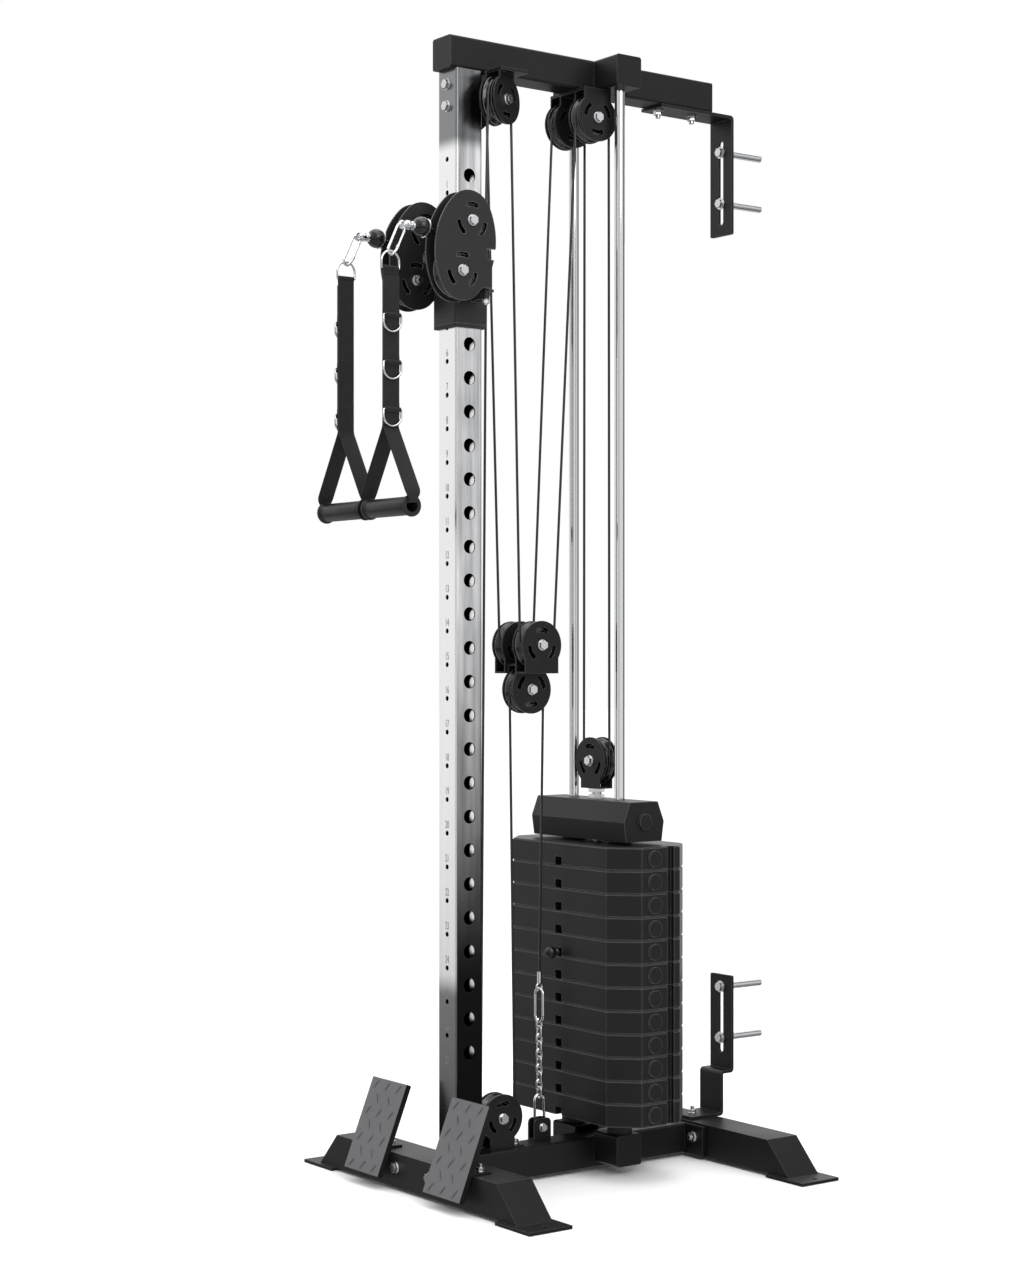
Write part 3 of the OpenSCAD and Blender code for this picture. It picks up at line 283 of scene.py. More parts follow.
# Polished steel mirrors its surroundings softly, and streaks a few millimetres wide run up it.
steel, tree, shader = surface("polished_steel", Metallic=1.0)
place = position(tree)
spot = add(tree, "ShaderNodeSeparateXYZ", {"Vector": place}).outputs
facing = add(tree, "ShaderNodeNewGeometry").outputs["Normal"]
facing_x = add(tree, "ShaderNodeSeparateXYZ", {"Vector": facing}).outputs["X"]
sideways = maths(tree, "ABSOLUTE", facing_x)
side = add(
    tree,
    "ShaderNodeMapRange",
    {"Value": sideways},
    **{"From Min": side_fold[0], "From Max": side_fold[1]},
)
streak_place = add(tree, "ShaderNodeMapping", {"Vector": place}, Scale=(70, 70, 3))
streak = noise(tree, streak_place.outputs["Vector"], 1.0, 5.0)
cloud_place = add(tree, "ShaderNodeMapping", {"Vector": place}, Scale=(14, 14, 5))
cloud = noise(tree, cloud_place.outputs["Vector"], 1.0, 3.0)
clouds = add(
    tree,
    "ShaderNodeMapRange",
    {"Value": maths(tree, "ADD", streak, cloud)},
    **{"From Min": 0.75, "From Max": 1.25},
)
# Painted reflection: the sides are pale cloudy grey along the streaks and turn near black low
# down.
side_light = mixed(tree, clouds.outputs["Result"], linear("#a9aaac"), linear("#f2f2f3"))
side_rise = ramp(tree, spot["Z"], *painted_side_shade, 0.0, 1.0)
side_colour = mixed(tree, side_rise, linear("#1d1d1e"), side_light)
# Painted reflection: the front is grey low down and near white above.
front_rise = ramp(tree, spot["Z"], *painted_front_shade, 0.0, 1.0)
front_colour = mixed(tree, front_rise, linear("#858687"), linear("#f1f1f2"))
colour = mixed(tree, side.outputs["Result"], front_colour, side_colour)
# Painted shade greys the top of the tube, under the beam.
painted_shade_under_beam = ramp(tree, spot["Z"], *painted_top_shade, 0.0, 1.0)
shaded = mixed(tree, painted_shade_under_beam, colour, linear("#8e8f90"), blend_type="MULTIPLY")

# Inside, the tube has a painted shade, near black. A painted oval patch of light lies on the rear
# wall, where light falls in through a side hole.
in_pitch = add(tree, "ShaderNodeMath", {0: spot["Z"]}, operation="WRAP")
in_pitch.inputs[1].default_value = painted_patch_z + stop_pitch / 2
in_pitch.inputs[2].default_value = painted_patch_z - stop_pitch / 2
on_wall = add(tree, "ShaderNodeCombineXYZ", {"X": spot["X"], "Z": in_pitch.outputs["Value"]})
from_patch = add(
    tree, "ShaderNodeVectorMath", {0: on_wall.outputs["Vector"]}, operation="SUBTRACT"
)
from_patch.inputs[1].default_value = (painted_patch_x, 0, painted_patch_z)
away = add(tree, "ShaderNodeVectorMath", {0: from_patch.outputs["Vector"]}, operation="LENGTH")
painted_light_patch = maths(
    tree,
    "MULTIPLY",
    ramp(tree, away.outputs["Value"], 0.9 * painted_patch_r, 1.1 * painted_patch_r, 1.0, 0.0),
    ramp(tree, spot["Y"], *rear_wall, 0.0, 1.0),
)
inside = mixed(tree, painted_light_patch, linear("#060606"), linear("#f4f4f6"))
across = add(tree, "ShaderNodeVectorMath", {0: place}, operation="ABSOLUTE").outputs["Vector"]
across = add(tree, "ShaderNodeSeparateXYZ", {"Vector": across}).outputs
skin = ramp(tree, maths(tree, "MAXIMUM", across["X"], across["Y"]), *tube_skin, 0.0, 1.0)
tree.links.new(mixed(tree, skin, inside, shaded), shader.inputs["Base Color"])
gloss = add(tree, "ShaderNodeMapRange", {"Value": streak}, **{"To Min": 0.16, "To Max": 0.30})
tree.links.new(gloss.outputs["Result"], shader.inputs["Roughness"])
raised(tree, shader, streak, 0.08, 0.2 * mm)
dress(steel, "upright")

digit_h = 14 * mm
digit_drop = 47.5 * mm
digit_t = 0.1 * mm
# Height of a capital in the typeface's own size, and how far its digits are narrowed.
capital = 0.7
narrow = 0.62
ink, tree, shader = surface("printing_ink", Roughness=0.5)
two_tone(tree, shader, noise(tree, position(tree), 900.0, 2.0), "#58585a", "#7c7c7e")
upright_turn = Matrix.Rotation(math.radians(90), 4, "X") @ Matrix.Diagonal((narrow, 1, 1, 1))
numbers = []
for k in range(stops):
    deselect()
    bpy.ops.object.text_add()
    number = bpy.context.object
    number.data.body = str(k + 1)
    number.data.align_x = "CENTER"
    number.data.align_y = "CENTER"
    number.data.size = digit_h / capital
    number.data.extrude = digit_t
    number.data.resolution_u = 3
    bpy.ops.object.convert(target="MESH")
    number = bpy.context.object
    spot = Vector((0, -post_half - digit_t, stop_top - k * stop_pitch - digit_drop))
    number.data.transform(Matrix.Translation(spot) @ upright_turn)
    numbers.append(number)
join(numbers)
piece_of("stop_numbers", ink, "frame")


# Painted frame
# Beam, base rail, foot beams and brackets are welded steel with a black powder coat.
# The coat is baked on and lies in a fine orange peel. A painted highlight, a lighter line, runs
# along each edge.


def painted(name, hex_code, painted_edge_code, roughness, peel_mm, depth_mm, shine=0.2, edge_mm=0.9):
    """A baked coat on steel: orange peel of a real pitch, cloudy gloss, painted edge lines."""
    material, tree, shader = surface(name, **{"Specular IOR Level": shine})
    place = position(tree)
    peel = noise(tree, place, 1 / (peel_mm * mm), 2.0)
    cloud = noise(tree, place, 9.0, 3.0)
    rounded = add(tree, "ShaderNodeBevel", samples=4, Radius=edge_mm * mm).outputs["Normal"]
    raised(tree, shader, peel, 0.35, depth_mm * mm, rounded)
    flat = add(tree, "ShaderNodeNewGeometry").outputs["Normal"]
    turn = add(tree, "ShaderNodeVectorMath", {0: flat, 1: rounded}, operation="DOT_PRODUCT")
    edge = add(
        tree,
        "ShaderNodeMapRange",
        {"Value": turn.outputs["Value"]},
        **{"From Min": 0.995, "From Max": 0.85},
    )
    # Near each edge the coat takes the painted edge colour: light ones are painted highlights.
    dark = linear(hex_code)
    light = [value * 1.25 for value in dark[:3]] + [1]
    coat = mixed(tree, edge.outputs["Result"], mixed(tree, cloud, dark, light), linear(painted_edge_code))
    tree.links.new(coat, shader.inputs["Base Color"])
    body = add(tree, "ShaderNodeMapRange", {"Value": cloud}, **{"To Min": 0.8, "To Max": 1.2})
    gloss = add(tree, "ShaderNodeMath", {0: body.outputs["Result"]}, operation="MULTIPLY")
    gloss.inputs[1].default_value = roughness
    tree.links.new(gloss.outputs["Value"], shader.inputs["Roughness"])
    return material


powder = painted(
    "powder_coat", "#111112", "#58585a", 0.42, peel_mm=1.1, depth_mm=0.10, shine=0.25, edge_mm=1.2
)
dress(
    powder,
    "top_beam",
    "base_rail",
    "front_foot_beam",
    "rear_foot_beam",
    "upper_wall_bracket",
    "lower_wall_bracket",
    "front_pulley_bracket",
    "rear_pulley_bracket",
    "base_pulley_bracket",
    "chain_anchor",
)


# Foot plates
# Two plates of checkered steel lean against the front foot beam, for pushing off with the feet.
# Their face is painted grey, and ridges stand on it in rows that lean left and right by turns.

plate_lean = math.radians(21.8)
plate_t = 11 * mm
plate_size = (116 * mm, 178 * mm)
plate_below = 52 * mm
plate_x = 75 * mm
ridge_l, ridge_w, ridge_h = 24 * mm, 5.5 * mm, 1.3 * mm
ridge_lean = math.radians(32)
ridge_rows = 7
ridge_step = 38 * mm
# Distances of the ridges from a plate's left edge, in the rows of three and of two.
row_of_three = [19 * mm + ridge_step * i for i in range(3)]
row_of_two = [ridge_step * (i + 1) for i in range(2)]
foot_front = -107 * mm
foot_top = 70 * mm

plate_paint = painted("grey_enamel", "#58585a", "#1c1c1d", 0.5, peel_mm=1.4, depth_mm=0.12)
tree = plate_paint.node_tree
shader = next(node for node in tree.nodes if node.type == "BSDF_PRINCIPLED")
face_grey = shader.inputs["Base Color"].links[0].from_socket
facing = add(tree, "ShaderNodeNewGeometry").outputs["Normal"]
ahead = add(tree, "ShaderNodeVectorMath", {0: facing}, operation="DOT_PRODUCT")
ahead.inputs[1].default_value = (0, -math.cos(plate_lean), math.sin(plate_lean))
on_face = add(
    tree,
    "ShaderNodeMapRange",
    {"Value": ahead.outputs["Value"]},
    **{"From Min": 0.8, "From Max": 0.95},
)
plate_colour = mixed(tree, on_face.outputs["Result"], linear("#141415"), face_grey)
tree.links.new(plate_colour, shader.inputs["Base Color"])
dress(plate_paint, "foot_plates")

# One ridge is a flat lens of two steps, and the others are its copies.
deselect()
bpy.ops.mesh.primitive_circle_add(vertices=14, radius=0.5, fill_type="NGON")
bpy.ops.object.mode_set(mode="EDIT")
bpy.ops.mesh.extrude_region_move(TRANSFORM_OT_translate={"value": (0, 0, 0.7)})
bpy.ops.transform.resize(value=(0.66, 0.86, 1))
bpy.ops.mesh.extrude_region_move(TRANSFORM_OT_translate={"value": (0, 0, 0.3)})
bpy.ops.transform.resize(value=(0.3, 0.7, 1))
bpy.ops.object.mode_set(mode="OBJECT")
first_ridge = bpy.context.object
first_ridge.data.transform(Matrix.Diagonal((ridge_w, ridge_l, ridge_h, 1)))
face_turn = Matrix.Rotation(math.radians(90), 4, "X")
ridges = []
for row in range(ridge_rows):
    lean, xs = (ridge_lean, row_of_three) if row % 2 == 0 else (-ridge_lean, row_of_two)
    up = plate_size[1] * (row + 0.5) / ridge_rows - plate_below
    for x in xs:
        for plate_left in (-plate_x - plate_size[0], plate_x):
            one = first_ridge.copy()
            one.data = first_ridge.data.copy()
            bpy.context.collection.objects.link(one)
            one.data.transform(
                Matrix.Translation((plate_left + x, foot_front, foot_top))
                @ Matrix.Rotation(-plate_lean, 4, "X")
                @ Matrix.Translation((0, -plate_t, up))
                @ face_turn
                @ Matrix.Rotation(-lean, 4, "Z")
            )
            ridges.append(one)
bpy.data.objects.remove(first_ridge)
join(ridges)
# The ridges are coloured darker than the face as a painted shade, with a painted highlight along
# their edges.
ridge_paint = painted("enamel_painted_shade_and_highlight", "#39393b", "#98989a", 0.42, peel_mm=1.4, depth_mm=0.08)
piece_of("foot_plate_ridges", ridge_paint, "frame")


# Bolts
# Hexagon bolts, washers and nuts in zinc-plated steel hold the frame and carry every pulley.
# The plating is bright with a faint haze, and light catches the rounded corners of the heads.


def metal(name, hex_code, roughness, haze_mm, edge_mm):
    """A bright metal with rounded corners, whose polish varies in a haze of a real grain."""
    material, tree, shader = surface(name, Metallic=1.0, **{"Base Color": linear(hex_code)})
    haze = noise(tree, position(tree), 1 / (haze_mm * mm), 4.0)
    gloss = add(
        tree,
        "ShaderNodeMapRange",
        {"Value": haze},
        **{"To Min": roughness * 0.7, "To Max": roughness * 1.4},
    )
    tree.links.new(gloss.outputs["Result"], shader.inputs["Roughness"])
    rounded = add(tree, "ShaderNodeBevel", samples=4, Radius=edge_mm * mm).outputs["Normal"]
    raised(tree, shader, haze, 0.1, 0.05 * mm, rounded)
    return material


zinc = metal("zinc_plate", "#cfd0d2", 0.22, haze_mm=3.0, edge_mm=0.9)
dress(zinc, "frame_bolts", "pulley_block_bolts", "left_arm_bolts", "right_arm_bolts")


# Weight stack
# Two chromed rods guide twelve cast plates with a fine black texture, and rubber rings carry
# them. The head block rides on top, and a drilled stem through the plates takes the selector pin.

chrome = metal("chrome_plate", "#d6d7d9", 0.07, haze_mm=12.0, edge_mm=0.5)
dress(chrome, "guide_rods", "tension_chain")
dress(zinc, "lifting_stem")
# The plates' edges and seams carry a painted highlight, a light line.
cast = painted(
    "textured_enamel",
    "#0f0f10",
    "#707072",
    0.40,
    peel_mm=1.6,
    depth_mm=0.25,
    shine=0.3,
    edge_mm=1.4,
)
dress(cast, "fixed_plates", "lifted_plates", "head_block")
dress(powder, "stack_pulley_bracket")


def plate_bolt(name, centre, axis, outer, reach):
    """Plates a bracket's own bolt: its faces, near its axis, stand proud of the bracket."""
    mesh = nodes[name].data
    mesh.materials.append(zinc)
    for polygon in mesh.polygons:
        apart = polygon.center - Vector(centre)
        along = apart[axis]
        apart[axis] = 0
        if abs(along) > outer and apart.length < reach:
            polygon.material_index = 1


stack_bolt = (0, 326 * mm, 794.5 * mm)
plate_bolt("stack_pulley_bracket", stack_bolt, 1, outer=16.6 * mm, reach=13 * mm)
rail_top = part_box("chain_anchor")[0].z
chain_bolt = (-16 * mm, 198 * mm, rail_top + 24 * mm)
plate_bolt("chain_anchor", chain_bolt, 0, outer=10.6 * mm, reach=11 * mm)

rubber, tree, shader = surface("moulded_rubber", Roughness=0.75)
dust = noise(tree, position(tree), 1 / (2.0 * mm), 3.0)
two_tone(tree, shader, dust, "#121213", "#242425")
raised(tree, shader, dust, 0.2, 0.1 * mm)
dress(rubber, "stack_bumpers")


def turned(profile, centre, direction, sides=40):
    """A turned piece, from rows of (distance along its axis, radius); open ends are capped."""
    deselect()
    along, radius = profile[0]
    bpy.ops.mesh.primitive_circle_add(vertices=sides, radius=radius, location=(0, 0, along))
    bpy.ops.object.mode_set(mode="EDIT")
    for next_along, next_radius in profile[1:]:
        step = (0, 0, next_along - along)
        bpy.ops.mesh.extrude_region_move(TRANSFORM_OT_translate={"value": step})
        size = next_radius / radius
        bpy.ops.transform.resize(value=(size, size, 1), center_override=(0, 0, next_along))
        along, radius = next_along, next_radius
    bpy.ops.mesh.select_all(action="SELECT")
    bpy.ops.mesh.remove_doubles(threshold=1e-6)
    bpy.ops.mesh.fill_holes(sides=sides)
    bpy.ops.mesh.normals_make_consistent(inside=False)
    bpy.ops.object.mode_set(mode="OBJECT")
    piece = bpy.context.object
    bpy.ops.object.transform_apply(location=True, rotation=True, scale=True)
    turn = Vector((0, 0, 1)).rotation_difference(Vector(direction)).to_matrix().to_4x4()
    piece.data.transform(Matrix.Translation(Vector(centre)) @ turn)
    bpy.ops.object.shade_smooth_by_angle(angle=math.radians(35))
    return piece


def dome(radius, steps, start=90, stop=-90):
    """Rows of a ball's outline from one angle down to another, for turned()."""
    rows = []
    for k in range(steps + 1):
        angle = math.radians(start + (stop - start) * k / steps)
        rows.append((radius * math.sin(angle), max(radius * math.cos(angle), 0.02 * mm)))
    return rows


# The selector pin's steel shank, its collar and the glossy ball that is pulled.
pin_low, pin_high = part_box("selector_pin")
ball_r = (pin_high.x - pin_low.x) / 2
pin_ball = Vector((0, pin_low.y + ball_r, (pin_low.z + pin_high.z) / 2))
gloss_black, tree, shader = surface(
    "phenolic_resin",
    Roughness=0.12,
    **{"Specular IOR Level": 0.25, "Coat Weight": 0.3, "Coat Roughness": 0.04},
)
two_tone(tree, shader, noise(tree, position(tree), 1 / (6 * mm), 3.0), "#0b0b0c", "#1a1a1b")
turned(dome(ball_r, 16)[::-1], pin_ball, (0, 1, 0))
knob = piece_of("selector_ball", gloss_black, "selector_pin")
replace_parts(knob, "selector_pin")
pin_r = 5 * mm
pin_len = pin_high.y - pin_ball.y
turned(
    [
        (ball_r - 2 * mm, pin_r + 2 * mm),
        (ball_r + 4 * mm, pin_r + 2 * mm),
        (ball_r + 5 * mm, pin_r + 1 * mm),
        (ball_r + 5 * mm, pin_r),
        (pin_len - 3 * mm, pin_r),
        (pin_len, pin_r - 2.5 * mm),
    ],
    pin_ball,
    (0, 1, 0),
)
shank = piece_of("selector_shank", chrome, "selector_pin")
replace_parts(shank, "selector_pin")


# Pulleys
# Every pulley is moulded black nylon on a steel bolt, with a deep groove for the cable.
# The nylon is glossy, with a painted highlight along its edges, and the web keeps the mould's
# faint grain.

nylon = painted(
    "moulded_nylon", "#121213", "#8c8c8e", 0.2, peel_mm=0.9, depth_mm=0.04, shine=0.6, edge_mm=1.3
)
dress(nylon, *[name for name in nodes if name.endswith("_pulley")])


# Trolley and arms
# A square steel sleeve with plastic liners slides on the upright and carries the two arms on lugs.
# A sprung pin with a ribbed knob locks it. The arms are pairs of plates with a black powder coat.

# The arms' and sleeve's edges carry a painted highlight, a light line.
arm_paint = painted(
    "arm_powder_coat",
    "#1c1c1d",
    "#8a8a8c",
    0.42,
    peel_mm=1.1,
    depth_mm=0.08,
    shine=0.3,
    edge_mm=1.2,
)
dress(arm_paint, "left_arm", "right_arm", "trolley_sleeve")
dress(powder, "pulley_block")
dress(rubber, "trolley_liners")

lock_low, lock_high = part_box("lock_pin")
knob_r = (lock_high.x - lock_low.x) / 2
knob_mid = Vector((0, lock_low.y, (lock_low.z + lock_high.z) / 2))
knob_len = 18.7 * mm
rib_from, rib_to = 2 * mm, 12 * mm
knob_faces = 64
turned(
    [
        (1.2 * mm, 0.02 * mm),
        (0, knob_r - 3 * mm),
        (0.6 * mm, knob_r - 1.2 * mm),
        (rib_from, knob_r),
        (rib_to, knob_r),
        (13.5 * mm, knob_r - 1.5 * mm),
        (14 * mm, knob_r - 3.5 * mm),
        (knob_len, knob_r - 4 * mm),
        (knob_len, 0.02 * mm),
    ],
    knob_mid,
    (0, 1, 0),
    knob_faces,
)
# Every second pair of faces round the knob is pressed in, which leaves its ribs.
bpy.ops.object.mode_set(mode="EDIT")
bpy.ops.mesh.select_all(action="DESELECT")
bpy.ops.object.mode_set(mode="OBJECT")
knob_piece = bpy.context.object
for polygon in knob_piece.data.polygons:
    centre = polygon.center
    angle = math.atan2(centre.z - knob_mid.z, centre.x)
    on_grip = rib_from < centre.y - knob_mid.y < rib_to
    polygon.select = on_grip and int((angle + math.pi) / (2 * math.pi) * knob_faces) % 4 < 2
bpy.ops.object.mode_set(mode="EDIT")
bpy.ops.mesh.inset(thickness=0.3 * mm, depth=-0.7 * mm)
bpy.ops.object.mode_set(mode="OBJECT")
lock_knob = piece_of("lock_knob", gloss_black, "lock_pin")
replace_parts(lock_knob, "lock_pin")
turned(
    [
        (knob_len - 1 * mm, 4.8 * mm),
        (lock_high.y - knob_mid.y - 2 * mm, 4.8 * mm),
        (lock_high.y - knob_mid.y, 3.2 * mm),
    ],
    knob_mid,
    (0, 1, 0),
)
lock_shank = piece_of("lock_shank", zinc, "lock_pin")
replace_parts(lock_shank, "lock_pin")


# Cables
# A nylon jacket covers a steel rope of 5 mm. It is drawn tight over the pulleys, glossy and black.
# Each straight stretch runs from a pulley or a fitting to the next.

jacket, tree, shader = surface("nylon_jacket", Roughness=0.2)
rope = noise(tree, position(tree), 1 / (4 * mm), 2.0)
two_tone(tree, shader, rope, "#0d0d0e", "#1f1f20")
raised(tree, shader, rope, 0.15, 0.1 * mm)
dress(jacket, "fixed_wraps", "block_wraps", "stack_wrap", "left_arm_wrap", "right_arm_wrap")

# Where the cable leaves each pulley or fitting, for the right side, and the wraps' radius.
cable_r = 2.5 * mm
top_z = 2.039
wrap_r = 40 * mm
front_in = (39 * mm, 89 * mm)
front_out = (70 * mm, 14 * mm)
rear = (38 * mm, 286 * mm)
stack = (wrap_r, 326 * mm, 0.7945)
block = (33 * mm, 155 * mm, 1.020)
block_low = (0, 155 * mm, 0.935)
arm_top = (75 * mm, 5 * mm, 1.800)
base = (0, 87 * mm, 0.123)
tail = (0, 59 * mm, 1.675)
hook_top = (-16 * mm, 198 * mm)
chain_top_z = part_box("tension_chain")[1].z


def stretch(name, start, end, node):
    """A straight cable between two points, in place of a CAD node."""
    start, end = Vector(start), Vector(end)
    length = (end - start).length
    turned([(0, cable_r), (length, cable_r)], start, (end - start).normalized(), 20)
    piece = piece_of(name, jacket, None)
    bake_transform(piece)
    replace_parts(piece, node)


for side_name, s in hands:
    stretch(
        f"{side_name}_front_cable",
        (s * front_out[0], front_out[1], top_z),
        (s * arm_top[0], arm_top[1], arm_top[2]),
        "trolley_strands",
    )
    stretch(
        f"{side_name}_block_front_cable",
        (s * front_in[0], front_in[1], top_z),
        (s * block[0], block[1] - wrap_r, block[2]),
        "block_upper_strands",
    )
    stretch(
        f"{side_name}_block_rear_cable",
        (s * rear[0], rear[1] - wrap_r, top_z),
        (s * block[0], block[1] + wrap_r, block[2]),
        "block_upper_strands",
    )
    stretch(
        f"{side_name}_stack_cable",
        (s * rear[0], rear[1] + wrap_r, top_z),
        (s * stack[0], stack[1], stack[2]),
        "stack_strands",
    )
stretch(
    "trolley_tail_cable",
    (base[0], base[1] - wrap_r, base[2]),
    tail,
    "trolley_tail_strand",
)
stretch(
    "block_tail_cable",
    (base[0], base[1] + wrap_r, base[2]),
    (block_low[0], block_low[1] - wrap_r, block_low[2]),
    "block_lower_strands",
)
stretch(
    "chain_cable",
    (hook_top[0], hook_top[1], chain_top_z - 6 * mm),
    (block_low[0], block_low[1] + wrap_r, block_low[2]),
    "block_lower_strands",
)


# Cable ends
# A glossy ball stop sits in a chromed cup behind a swivel, whose eye takes a spring hook.
# The hook is bent from 5 mm wire, and its gate is a straight pin with a collar over the joint.

handle_x = 75 * mm
swing_y = -0.206
stop_r = 18 * mm
stop_mid = (-0.139, 1.77908)
eye_r, eye_wire = 6 * mm, 2.6 * mm
gate_r = 2.1 * mm
hook_mid = Vector((0, -0.193, 1.751))
hook_tilt = math.radians(-25.4)
hook_l = 66 * mm
hook_w = 22 * mm
hook_wire = 2.5 * mm
exit_rise = math.radians(12.2)


def wire(name, points, radius, closed=True, sides=4):
    """A round wire that runs along points."""
    deselect()
    curve = bpy.data.curves.new(name, "CURVE")
    curve.dimensions = "3D"
    curve.twist_mode = "MINIMUM"
    curve.bevel_depth = radius
    curve.bevel_resolution = sides
    curve.use_fill_caps = True
    line = curve.splines.new("POLY")
    line.points.add(len(points) - 1)
    for spot, point in zip(line.points, points):
        spot.co = (*point, 1)
    line.use_cyclic_u = closed
    piece = bpy.data.objects.new(name, curve)
    bpy.context.collection.objects.link(piece)
    piece.select_set(True)
    bpy.context.view_layer.objects.active = piece
    bpy.ops.object.convert(target="MESH")
    bpy.ops.object.shade_smooth_by_angle(angle=math.radians(40))
    return bpy.context.object


def arc(centre, radius, start, stop, steps):
    """Points of an arc, two coordinates each, angles in degrees."""
    angles = [math.radians(start + (stop - start) * k / steps) for k in range(steps + 1)]
    return [(centre[0] + radius * math.cos(a), centre[1] + radius * math.sin(a)) for a in angles]


def cable_end(side_name, s):
    """Ball, cup, swivel and hook of one side."""
    x = s * handle_x
    body = f"{side_name}_cable_end"
    ball = Vector((x, *stop_mid))
    outward = Vector((0, math.cos(exit_rise), -math.sin(exit_rise)))
    turned(dome(stop_r, 20)[::-1], ball, outward, 48)
    stop_ball = piece_of(f"{side_name}_ball_stop", gloss_black, body)
    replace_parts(stop_ball, body)
    inner = dome(stop_r + 0.2 * mm, 8, 26, 75)
    outer = dome(stop_r + 2 * mm, 8, 72, 26)
    ferrule = [
        (stop_r + 15 * mm, 2.9 * mm),
        (stop_r + 15 * mm, 3.6 * mm),
        (stop_r + 13 * mm, 5 * mm),
        (stop_r + 2 * mm, 5 * mm),
    ]
    turned(inner + ferrule + outer + inner[:1], ball, outward, 48)
    cup = piece_of(f"{side_name}_ball_cup", chrome, body)
    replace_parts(cup, body)
    front = ball + Vector((0, -stop_r + 1 * mm, 0))
    swivel = turned(
        [
            (0, 8 * mm),
            (4 * mm, 8 * mm),
            (5 * mm, 7 * mm),
            (5.4 * mm, 5 * mm),
            (9 * mm, 5 * mm),
            (9.4 * mm, 8.6 * mm),
            (12 * mm, 9 * mm),
            (16 * mm, 8.6 * mm),
            (17.4 * mm, 5 * mm),
            (22 * mm, 4.4 * mm),
        ],
        front,
        (0, -1, 0),
        40,
    )
    eye_reach = (hook_l - 2 * hook_wire) / 2
    eye = hook_mid + Vector((x, -eye_reach * math.sin(hook_tilt), eye_reach * math.cos(hook_tilt)))
    ring = [(eye.x, a, b) for a, b in arc((eye.y, eye.z), eye_r, 0, 348, 29)]
    eye_ring = wire("eye_ring", ring, eye_wire)
    join([swivel, eye_ring])
    swivel_piece = piece_of(f"{side_name}_swivel", chrome, body)
    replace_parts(swivel_piece, body)
    # The hook's wire turns twice, above and below its middle, and the gate closes its open side.
    wide = hook_w / 2 - hook_wire
    bend_up = hook_l / 2 - hook_w / 2
    outline = arc((0, bend_up), wide, 60, 180, 10)
    outline += arc((0, -bend_up), wide, 180, 300, 10)
    outline += [(wide - 0.5 * mm, -bend_up + 4 * mm), (wide + 0.2 * mm, -bend_up + 12 * mm)]
    turn = Matrix.Translation(hook_mid + Vector((x, 0, 0))) @ Matrix.Rotation(hook_tilt, 4, "X")
    bow = [turn @ Vector((0, a, b)) for a, b in outline]
    body_wire = wire("hook_wire", bow, hook_wire, False)
    pin = [(wide, -bend_up + 10 * mm), (wide, bend_up - 2 * mm), (wide * 0.8, bend_up + 5 * mm)]
    pin = [turn @ Vector((0, a, b)) for a, b in pin]
    gate = wire("hook_gate", pin, gate_r, False)
    up = turn.to_3x3() @ Vector((0, 0, 1))
    collar = turned(
        [(0, 2.7 * mm), (1 * mm, 3.1 * mm), (6 * mm, 3.1 * mm), (7 * mm, 2.7 * mm)],
        turn @ Vector((0, wide, -bend_up + 8 * mm)),
        up,
        24,
    )
    hinge = turned(
        [(-3.2 * mm, 1.2 * mm), (3.2 * mm, 1.2 * mm)],
        turn @ Vector((0, wide, bend_up - 2 * mm)),
        (1, 0, 0),
        16,
    )
    join([body_wire, gate, collar, hinge])
    hook = piece_of(f"{side_name}_spring_hook", chrome, body)
    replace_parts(hook, body)


for side_name, s in hands:
    cable_end(side_name, s)


# Straps and grips
# One band of polyester webbing goes through the grip and over a D-ring, and is sewn to itself
# above the fork. A second layer holds three more rings. The grip is a plastic tube with flanges.

web_t = 2 * mm
web_w = 33 * mm
weave_pitch = 2.6 * mm
bar_z = 1.698
ring_zs = [1.613, 1.528, 1.443]
inlay_z = 1.27364
grip_mid_z = 1.267
ring_r = 19 * mm
ring_wire = 2 * mm
ring_x = 6.5 * mm
# Radius in which the webbing's middle goes round a ring's bar.
bar_bend = 3.3 * mm

# Woven webbing shows ribs across its width and fine chevrons. They are drawn at twice their real
# spacing, so that they show at this distance. It hardly shines.
webbing, tree, shader = surface(
    "woven_polyester", Roughness=0.8, **{"Sheen Weight": 0.1, "Specular IOR Level": 0.2}
)
thread = add(tree, "ShaderNodeUVMap", uv_map="length").outputs["UV"]
split = add(tree, "ShaderNodeSeparateXYZ", {"Vector": thread})
weave = []
for socket in ("X", "Y"):
    turns = add(tree, "ShaderNodeMath", {0: split.outputs[socket]}, operation="MULTIPLY")
    turns.inputs[1].default_value = 2 * math.pi / weave_pitch
    weave.append(maths(tree, "SINE", turns.outputs["Value"]))
relief = add(
    tree,
    "ShaderNodeMapRange",
    {"Value": maths(tree, "MULTIPLY", *weave)},
    **{"From Min": -1.0, "From Max": 1.0},
).outputs["Result"]
place = position(tree)
fade = noise(tree, place, 1 / (18 * mm), 4.0)
fuzz = noise(tree, place, 1 / (0.8 * mm), 2.0)
yarn = mixed(tree, relief, linear("#0f0f10"), linear("#2a2a2b"))
faded = mixed(tree, fade, yarn, linear("#c8c8c8"), blend_type="MULTIPLY")
tree.links.new(faded, shader.inputs["Base Color"])
raised(tree, shader, maths(tree, "ADD", relief, fuzz), 0.6, 0.4 * mm)

grip_plastic, tree, shader = surface("moulded_grip", Roughness=0.4, **{"Specular IOR Level": 0.3})
place = position(tree)
pebble = add(tree, "ShaderNodeTexVoronoi", {"Vector": place}, Scale=1 / (1.1 * mm))
two_tone(tree, shader, noise(tree, place, 1 / (20 * mm), 2.0), "#121213", "#1f1f20")
raised(tree, shader, pebble.outputs["Distance"], 0.12, 0.1 * mm)


